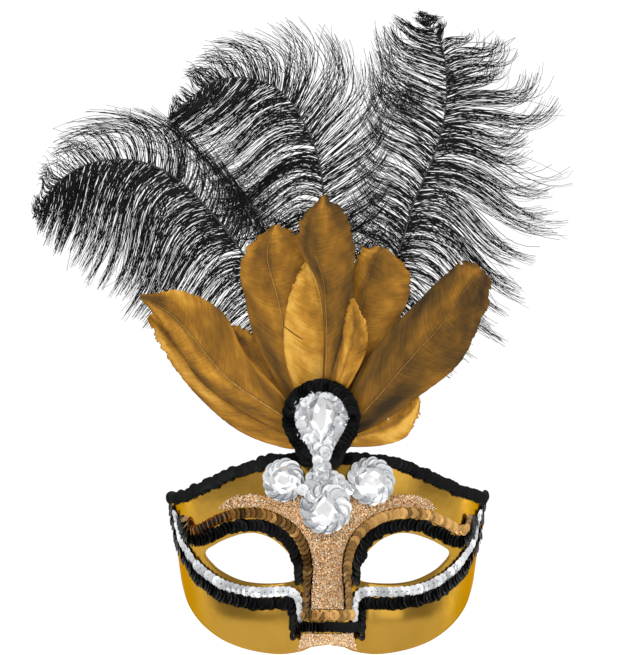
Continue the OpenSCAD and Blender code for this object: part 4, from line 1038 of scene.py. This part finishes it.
def make_gold_feather(i, name):
    shaft_mix, tone0, tone_right, camber, wave, splits = FEATHERS[name]
    rng = np.random.default_rng(200 + i)
    left, right = (np.array(e, float) for e in GOLD_EDGES[name])
    last = len(left) - 1
    rows, half = 190, 13
    adv = 0.2
    s = np.linspace(-adv / (1 - adv), 1, rows)
    s_mid = np.clip(s, 0, 1)

    def shaft(t):
        m = np.interp(t, [0, 0.5, 1], shaft_mix)[..., None]
        return at_steps(left, t * last) * (1 - m) + at_steps(right, t * last) * m
    base = shaft(s_mid)
    tip_ward = unit(direction(shaft(np.linspace(0, 1, rows))))
    xz = np.zeros((rows, 2 * half + 1, 2))
    c_all = np.zeros((rows, 2 * half + 1))
    gaps = np.zeros((rows - 1, 2 * half), bool)
    for sign, edge in ((-1, left), (1, right)):
        t_edge = np.clip(s + adv * (1 - s), 0, 1)
        end = at_steps(edge, t_edge * last)
        out = unit(end - base + 1e-9)
        groups = np.repeat(rng.uniform(-1.0, 0.7, rows // 4 + 1), 4)[:rows]
        ragged = (groups * 0.8 + rng.uniform(-0.4, 0.35, rows)) * (0.22 + 1.1 * smooth((t_edge - 0.6) / 0.36))
        ragged *= np.minimum(1, np.linalg.norm(end - base, axis=1) / 5)
        end = end + out * ragged[:, None]
        blunt = smooth((t_edge - 0.8) / 0.1) * (1 - smooth((t_edge - 0.9) / 0.1)) * BLUNT.get(name, 0)
        end = end + out * (blunt * (1 + 0.4 * groups))[:, None]
        push = np.zeros(rows)
        start_at = np.ones(rows)
        for side, place, start, width in splits:
            if side == sign:
                r0 = int((place + adv / (1 - adv)) / (1 + adv / (1 - adv)) * rows)
                k = np.arange(rows) - r0 - 0.5
                amount = np.sign(k) * width / 2 * np.exp(-np.abs(k) / 9)
                push = np.where(np.abs(amount) > np.abs(push), amount, push)
                start_at = np.where(np.abs(k) < 30, start, start_at)
                first = int(start * half)
                for c in range(first, half):
                    gaps[r0, half + c if sign > 0 else half - 1 - c] = True
        for c in range(half + 1):
            f = c / half
            ctrl = base + (end - base) * 0.5 - tip_ward * (np.linalg.norm(end - base, axis=1) * 0.16)[:, None]
            p = base * (1 - f) ** 2 + ctrl * 2 * f * (1 - f) + end * f * f
            open_by = push * smooth((f - start_at) / np.maximum(1 - start_at, 0.05)) if push.any() else np.zeros(rows)
            p = p + tip_ward * open_by[:, None]
            xz[:, half + sign * c] = p
            c_all[:, half + sign * c] = sign * f
    r = np.linalg.norm(xz, axis=-1)
    width = np.linalg.norm(xz[:, -1] - xz[:, 0], axis=-1)[:, None]
    phase = rng.uniform(0, 6.28, 3)
    y = layer_y(i, r)
    y = y + camber * np.abs(c_all) ** 1.7 * np.minimum(1, width / 30)
    y = y + wave * np.sin(s[:, None] * 9 + phase[0] + 1.5 * c_all) * c_all**2 * np.minimum(1, width / 25) * 0.6
    y = y + 0.16 * np.sin(s[:, None] * 46 + phase[1]) * np.abs(c_all) + rng.normal(0, 0.03, (rows, 1)) * np.abs(c_all)
    y = y - 2.2 * smooth((s[:, None] - 0.86) / 0.14) * (0.4 + 0.6 * c_all**2) * (name not in ("front", "curl"))
    mid = np.stack([PLAQUE_X + xz[..., 0], y, ROOT_Z + xz[..., 1]], -1)
    thick = 0.11
    front, back = mid - [0, thick, 0], mid + [0, thick, 0]
    cols = 2 * half + 1
    n = rows * cols
    verts = np.concatenate([front.reshape(-1, 3), back.reshape(-1, 3)])
    keep = ~gaps.ravel()
    f_front = grid(rows, cols)[keep]
    cell = np.ones((rows + 1, cols + 1), bool)
    cell[1:-1, 1:-1] = gaps
    sides = []
    for a in range(rows - 1):
        for b in range(cols - 1):
            if gaps[a, b]:
                continue
            k = a * cols + b
            if cell[a, b + 1]:
                sides.append([k + 1, k, k + n, k + 1 + n])
            if cell[a + 2, b + 1]:
                sides.append([k + cols, k + cols + 1, k + cols + 1 + n, k + cols + n])
            if cell[a + 1, b]:
                sides.append([k, k + cols, k + cols + n, k + n])
            if cell[a + 1, b + 2]:
                sides.append([k + cols + 1, k + 1, k + 1 + n, k + cols + 1 + n])
    faces = np.vstack([f_front[:, ::-1] * 0 + f_front, f_front[:, ::-1] + n, np.array(sides)])
    tone = tone0 + np.where(c_all > 0, tone_right, 0) * smooth(np.abs(c_all) * 6)
    # light and dark bands across and along the vane: painted satin sheen
    tone = tone + 0.11 * np.sin(c_all * 4.5 + phase[2]) + 0.1 * np.sin(s[:, None] * 7 + c_all * 3 + phase[1])
    # darker near both vane edges: painted shade where the vanes overlap; a thin darker line also runs along the shaft
    tone = tone - 0.1 * smooth((np.abs(c_all) - 0.86) / 0.14) * rng.uniform(0, 1, (rows, 1)) - 0.1 * np.exp(-(c_all / 0.05) ** 2)
    # far_left: the tip is darkened as painted shade, and the right half is lighter from the middle to the tip
    if name == "far_left":
        tone = tone - 0.42 * smooth((s[:, None] - 0.8) / 0.12) * smooth((c_all + 0.2) * 2) + 0.2 * smooth((s[:, None] - 0.55) / 0.2) * (c_all > 0)
    uv = np.stack([c_all * 0.5 + 0.5, np.repeat(np.linspace(0.001, 0.999, rows)[:, None], cols, 1)], -1).reshape(-1, 2)
    piece(f"{name}_vane", verts, faces, "plume_head", FEATHER, [f"gold_feather_{name}"],
          uv=np.vstack([uv, uv]), tone=np.tile(tone.ravel(), 2))
    reach = np.linspace(0.0, 0.93, 60)
    line = shaft(reach)
    r = np.linalg.norm(line, axis=1)
    y = layer_y(i, r) - 0.3 - 2.2 * 0.4 * smooth((reach - 0.86) / 0.14) * (name not in ("front", "curl"))
    path = np.stack([PLAQUE_X + line[:, 0], y, ROOT_Z + line[:, 1]], 1)
    radius = (0.62 - 0.5 * reach / 0.93)[None] * (0.9 if name in BOLD_SHAFTS else 0.36)
    verts, faces = tubes(path[None], radius, 8, 0.8)
    piece(f"{name}_shaft", verts, faces, "plume_head", SHAFT)


# ---------------------------------------------------------------- ostrich plumes
FAN = np.concatenate([np.concatenate([curve(e, 8) for e in pair]) for pair in GOLD_EDGES.values()])
FAN_ANGLE = np.degrees(np.arctan2(FAN[:, 1], FAN[:, 0])) % 360
FAN_BINS = np.arange(-30, 226, 4)
FAN_REACH = np.array([max([np.hypot(*p) for p, a in zip(FAN, (FAN_ANGLE + 30) % 360 - 30) if abs(a - b) < 6] or [0]) for b in FAN_BINS])


def clear_of_fan(x, z):
    """0 behind the gold feathers, rising to 1 once well past their ends."""
    a = (np.degrees(np.arctan2(z, x)) + 30) % 360 - 30
    return smooth((np.hypot(x, z) - np.interp(a, FAN_BINS, FAN_REACH) - 2) / 26)


# For each plume: barbs on each side, how far they open forward and backward, how strongly they clump,
# and how far the barbs of each side sweep on towards the tip
FLUFF = {"left": (1250, 620, 7.0, 1.6, 0.7, (0.2, 0.2, 0.3, 0.3), (0.5, 1.0, 1.5, 1.1)),
         "centre": (1100, 900, 0.6, 9.0, 0.7, (0.2, 0.3, 0.5, 0.5), (0.3, 0.5, 1.1, 1.3)),
         "right": (850, 1150, 6.0, 1.6, 0.85, (0.2, 0.5, 1.2, 1.2), (0.2, 0.2, 0.9, 1.5))}
# Where a side's barbs gather into a few long points: place along the quill
POINTED = {"right": 5.2}


def make_plume(name, seed):
    quill, left, right = (np.array(c, float) for c in PLUMES[name])
    n_left, n_right, forward, backward, clump, sweep_left, sweep_right = FLUFF[name]
    y0 = QUILL_FIRST + LAYERS[name] * QUILL_PITCH
    last = len(quill) - 1
    fine = np.linspace(0, last, 400)
    dense = at_steps(quill, fine)
    run = np.concatenate([[0], np.cumsum(np.linalg.norm(np.diff(dense, axis=0), axis=1))])
    s = np.linspace(0, 1, 90)
    line = np.stack([np.interp(s * run[-1], run, dense[:, k]) for k in (0, 1)], 1)
    path = np.stack([PLAQUE_X + line[:, 0], y0 + bow(np.linalg.norm(line, axis=1)), ROOT_Z + line[:, 1]], 1)
    body = f"{name}_plume"
    radius = (QUILL_D / 2 + (0.22 - QUILL_D / 2) * s ** 0.8)[None]
    verts, faces = tubes(path[None], radius, 10)
    piece(f"{name}_plume_shaft", verts, faces, body, QUILL, [f"{name}_quill"])

    rng = np.random.default_rng(seed)
    steps = 12
    f = np.linspace(0, 1, steps)[None, :, None]
    parts, radii, tones = [], [], []
    for sign, edge, count, sweep in ((-1, left, n_left, sweep_left), (1, right, n_right, sweep_right)):
        place = np.sort(rng.uniform(0.02, 1, count)) ** 0.92
        u = np.interp(place * run[-1], run, fine)
        root = at_steps(quill, u)
        along = unit(at_steps(quill, np.minimum(u + 0.05, last)) - at_steps(quill, np.maximum(u - 0.05, 0)))
        out = np.stack([-along[:, 1], along[:, 0]], 1) * (-sign)
        group = np.floor(place * rng.uniform(30, 34) + rng.normal(0, 0.35, count) * 0.5)
        if name in POINTED:
            far = u > POINTED[name]
            group = np.where(far, 100 + np.floor(u * 2.6 + rng.normal(0, 0.06, count)), group)
        middle = {g: u[group == g].mean() + rng.normal(0, 0.08) for g in np.unique(group)}
        pull = {g: np.clip(rng.normal(clump, 0.18), 0.1, 0.96) for g in middle}
        pull = {g: max(pull[g], 0.93) if g >= 100 else pull[g] for g in pull}
        size = {g: rng.uniform(0.86, 1.06) if g < 100 else rng.choice([0.72, 0.98, 1.04]) for g in middle}
        lift = {g: rng.normal(0, 1) for g in middle}
        u_end = np.array([mix_to(a, middle[g], pull[g]) for a, g in zip(u, group)])
        ahead = rng.normal(1, 0.12, count) * np.interp(u, np.linspace(0, last, len(sweep)), sweep)
        ahead = ahead * np.minimum(1, (last - u) / 2.6)
        u_end = np.clip(u_end + ahead, 0, last)
        end = at_steps(edge, u_end)
        trend = unit(at_steps(edge, np.minimum(u_end + 0.1, last)) - at_steps(edge, np.maximum(u_end - 0.1, 0)))
        share = rng.uniform(0.78, 1.04, count) * np.array([size[g] for g in group])
        share = np.where(group >= 100, share * rng.uniform(0.9, 1, count), share)
        short = rng.uniform(0, 1, count) < np.where(group >= 100, 0.1, 0.2)
        share = np.where(short, share * rng.uniform(0.35, 0.8, count), share)
        wild = rng.uniform(0, 1, count) < 0.05
        share = np.where(wild & ~short, share * rng.uniform(1.0, 1.1, count), share)
        share = share * np.where(u > last - 0.5, 0.7, 1)
        end = root + (end - root) * share[:, None] + rng.normal(0, 1.0, (count, 2))
        span = np.linalg.norm(end - root, axis=1)[:, None]
        lean = np.radians(rng.normal(50 + 16 * np.minimum(ahead, 1.8), 7, count))[:, None]
        leave = along * np.cos(lean) + out * np.sin(lean)
        away = unit(end - root)
        fall = np.array([0.0, -1.0]) * (np.clip(span / 60, 0.2, 1.0) * np.clip(1.3 - 1.1 * ahead, 0, 1)[:, None])
        trail = at_steps(quill, np.minimum(u + 1.2, last)) - at_steps(quill, np.minimum(u + 0.2, last - 0.2))
        arrive = unit(away * 0.85 + fall * DROOP[name] + unit(trail + 1e-6) * 0.35 + trend * ahead[:, None] * 0.9)
        arrive = np.where(wild[:, None], unit(away + rng.normal(0, 0.3, (count, 2))), arrive)
        p1 = root + leave * span * (0.42 + 0.16 * np.minimum(ahead, 1.8))[:, None]
        p2 = end - arrive * span * (0.36 + 0.06 * np.minimum(ahead, 1.8))[:, None]
        f2 = f
        flat = (root[:, None] * (1 - f2) ** 3 + p1[:, None] * 3 * f2 * (1 - f2) ** 2
                + p2[:, None] * 3 * f2**2 * (1 - f2) + end[:, None] * f2**3)
        wriggle = rng.normal(0, 0.35, (count, 1)) * np.sin(f[..., 0] * rng.uniform(5, 10, (count, 1)) + rng.uniform(0, 6, (count, 1))) * f[..., 0]
        flat = flat + unit(np.stack([-away[:, 1], away[:, 0]], 1))[:, None] * wriggle[..., None] * np.minimum(1, span / 30)[:, None]
        r = np.linalg.norm(flat, axis=-1)
        free = clear_of_fan(flat[..., 0], flat[..., 1])
        opened = np.array([lift[g] for g in group])[:, None] * 0.45 + rng.normal(0, 0.5, (count, 1))
        opened = np.clip(opened, -1.2, 1.2) * f[..., 0] ** 1.2
        depth = np.where(opened < 0, opened * forward * free, opened * backward)
        y = y0 + bow(r) + depth
        parts.append(np.stack([PLAQUE_X + flat[..., 0], y, ROOT_Z + flat[..., 1]], -1))
        thick = rng.uniform(0.18, 0.32, (count, 1)) * (1 - 0.5 * f[..., 0])
        radii.append(thick)
        tones.append(np.clip(rng.normal(0.42, 0.22, (count, 1)) + 0.12 * f[..., 0], 0, 1))
    for x, z, wide, many, long in TUFTS[name]:
        root = np.stack([rng.normal(x, wide, many), rng.normal(z, wide * 0.7, many)], 1)
        angle = rng.uniform(0, 2 * np.pi, many)
        heading = np.stack([np.cos(angle), np.sin(angle)], 1) + [-0.4, -0.2]
        end = root + heading * rng.uniform(0.5, 1.2, (many, 1)) * long
        bend = rng.normal(0, long * 0.25, (many, 2))
        flat = root[:, None] * (1 - f) ** 2 + (root + end)[:, None] * f * (1 - f) + bend[:, None] * 2 * f * (1 - f) + end[:, None] * f**2
        y = y0 + bow(np.linalg.norm(flat, axis=-1)) + np.abs(rng.normal(0, 1.6, (many, 1)))
        parts.append(np.stack([PLAQUE_X + flat[..., 0], y, ROOT_Z + flat[..., 1]], -1))
        radii.append(rng.uniform(0.14, 0.24, (many, 1)) * (1 - 0.6 * f[..., 0]))
        tones.append(np.clip(rng.normal(0.15, 0.1, (many, 1)) + 0 * f[..., 0], 0, 1))
    paths, radius, tone = np.concatenate(parts), np.concatenate(radii), np.concatenate(tones)
    paths = np.clip(paths, np.array([-165.5, -14.0, -50.0]), np.array([135.0, 80.0, 303.5]))
    verts, faces = tubes(paths, radius)
    number = np.arange(len(paths))
    uv = np.stack([np.repeat((number % 256 + 0.5) / 256, steps * 3),
                   np.tile(np.repeat(np.linspace(0.01, 0.99, steps), 3), len(paths))], 1)
    uv[:, 0] += np.tile([0.0, 0.0012, 0.0006], len(paths) * steps)
    piece(f"{name}_plume_flue", verts, faces, body, BARB, [f"{name}_barbs"],
          uv=uv, tone=np.repeat(tone.ravel(), 3))


def mix_to(a, b, s):
    return a + (b - a) * s


DROOP = {"left": 0.75, "centre": 0.45, "right": 0.5}
# Dense tufts: x, z, spread, barbs, length
TUFTS = {"left": [], "centre": [(-40, 136, 11, 420, 14), (-24, 118, 10, 200, 13), (34, 112, 9, 260, 12)], "right": [(48, 190, 5, 150, 14), (36, 84, 6, 160, 12)]}


# ---------------------------------------------------------------- back of the fan, and CAD nodes kept
def make_root():
    lo, hi = (np.array(c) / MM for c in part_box("feather_root"))
    r = (hi[0] - lo[0]) / 2
    turns, per = int((hi[1] - lo[1]) / 0.55), 4
    rows = []
    for k in range(turns * per + 1):
        y = lo[1] + (hi[1] - lo[1]) * k / (turns * per)
        rows.append((r - 0.16 + 0.16 * abs(math.sin(math.pi * k / per)), y))
    rows = [(0.01, lo[1]), *rows, (0.01, hi[1])]
    a = 2 * np.pi * np.arange(40) / 40
    verts = np.array([[(lo[0] + hi[0]) / 2 + q * math.cos(t), y, (lo[2] + hi[2]) / 2 + q * math.sin(t)] for q, y in rows for t in a])
    piece("bound_ends", verts, grid(len(rows), 40, wrap_cols=True)[:, ::-1], "plume_head", THREAD, ["feather_root"])
    lo, hi = (np.array(c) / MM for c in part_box("fan_felt"))
    c = (lo + hi) / 2
    make_felt("fan_back_felt", round_outline((hi[0] - lo[0]) / 2, 56), 0, hi[1] - lo[1], np.array([c[0], hi[1], c[2]]),
              PLAQUE_AXES, "plume_head", "fan_felt", 41)


def keep(node, material):
    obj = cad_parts[node]
    if not obj.material_slots:
        obj.data.materials.append(material)
    for one in obj.material_slots:
        one.material = material


make_shell()
make_trims()
make_glitter_skin()
make_rosettes()
make_web()
make_plaque()
make_stem()
for number, label in enumerate(GOLD_EDGES):
    make_gold_feather(number, label)
for number, label in enumerate(PLUMES):
    make_plume(label, 300 + number)
make_root()
keep("plaque_card", CARD)
for end in ("left", "right"):
    keep(f"temple_tab_{end}", GOLD_PLASTIC)
    keep(f"eyelet_{end}", BRASS)

# ---------------------------------------------------------------- floor, light and camera
floor_mesh = bpy.data.meshes.new("floor")
size, drop = 1.6, -0.0562
floor_mesh.from_pydata([(-size, -size, drop), (size, -size, drop), (size, size, drop), (-size, size, drop)], [], [(0, 1, 2, 3)])
floor = bpy.data.objects.new("floor", floor_mesh)
bpy.context.scene.collection.objects.link(floor)
floor_look = Look("pale_floor", srgb(238, 238, 236), 0.7, Emission_Color=(1, 1, 1, 1), Emission_Strength=0.55)
floor_look.to("Base Color", floor_look.ramp(floor_look.noise(floor_look.place(), 3), [(0.3, srgb(235, 235, 233)), (0.7, srgb(241, 241, 240))]))
floor_mesh.materials.append(floor_look.m)

scene = bpy.context.scene
scene.view_settings.view_transform = "Standard"
world = bpy.data.worlds.new("studio")
scene.world = world
world.use_nodes = True
tree = world.node_tree
coord = tree.nodes.new("ShaderNodeTexCoord")
split = tree.nodes.new("ShaderNodeSeparateXYZ")
ramp = tree.nodes.new("ShaderNodeValToRGB")
spread = tree.nodes.new("ShaderNodeMapRange")
spread.inputs["From Min"].default_value = -1
tree.links.new(coord.outputs["Generated"], split.inputs[0])
tree.links.new(split.outputs["Y"], spread.inputs["Value"])
tree.links.new(spread.outputs["Result"], ramp.inputs["Fac"])
stops = [(0.0, 0.5), (0.3, 0.4), (0.5, 0.3), (0.66, 0.5), (0.85, 0.95), (0.95, 1.0)]
while len(ramp.color_ramp.elements) < len(stops):
    ramp.color_ramp.elements.new(0.5)
for element, (place, value) in zip(ramp.color_ramp.elements, stops):
    element.position, element.color = place, (value, value, value, 1)
tree.links.new(ramp.outputs["Color"], tree.nodes["Background"].inputs["Color"])
tree.nodes["Background"].inputs["Strength"].default_value = 1.03


def softbox(name, place, target, width, height, power):
    light = bpy.data.lights.new(name, "AREA")
    light.shape, light.size, light.size_y, light.energy = "RECTANGLE", width, height, power
    lamp = bpy.data.objects.new(name, light)
    lamp.visible_camera = False
    scene.collection.objects.link(lamp)
    aim(lamp, place, target)


def aim(obj, place, target):
    from mathutils import Vector
    obj.location = place
    obj.rotation_euler = (Vector(target) - Vector(place)).to_track_quat("-Z", "Y").to_euler()


softbox("key", (-1.0, -1.7, 1.3), (0, 0, 0.1), 1.5, 1.5, 16)
softbox("fill", (1.4, -1.6, 0.7), (0, 0, 0.08), 1.2, 1.2, 6)
softbox("side_left", (-1.5, 0.66, 0.1), (0, 0.03, 0.0), 0.26, 1.8, 4.0)
softbox("side_right", (1.5, 0.66, 0.1), (0, 0.03, 0.0), 0.26, 1.8, 7.5)

lens = bpy.data.cameras.new("camera")
distance = 6.0
lens.sensor_fit, lens.sensor_width = "HORIZONTAL", 36.0
lens.lens = 36.0 * distance / 0.352
lens.clip_end = 20
camera = bpy.data.objects.new("camera", lens)
scene.collection.objects.link(camera)
aim(camera, (-0.0041, -distance, 0.1279), (-0.0041, 0, 0.1279))
scene.camera = camera
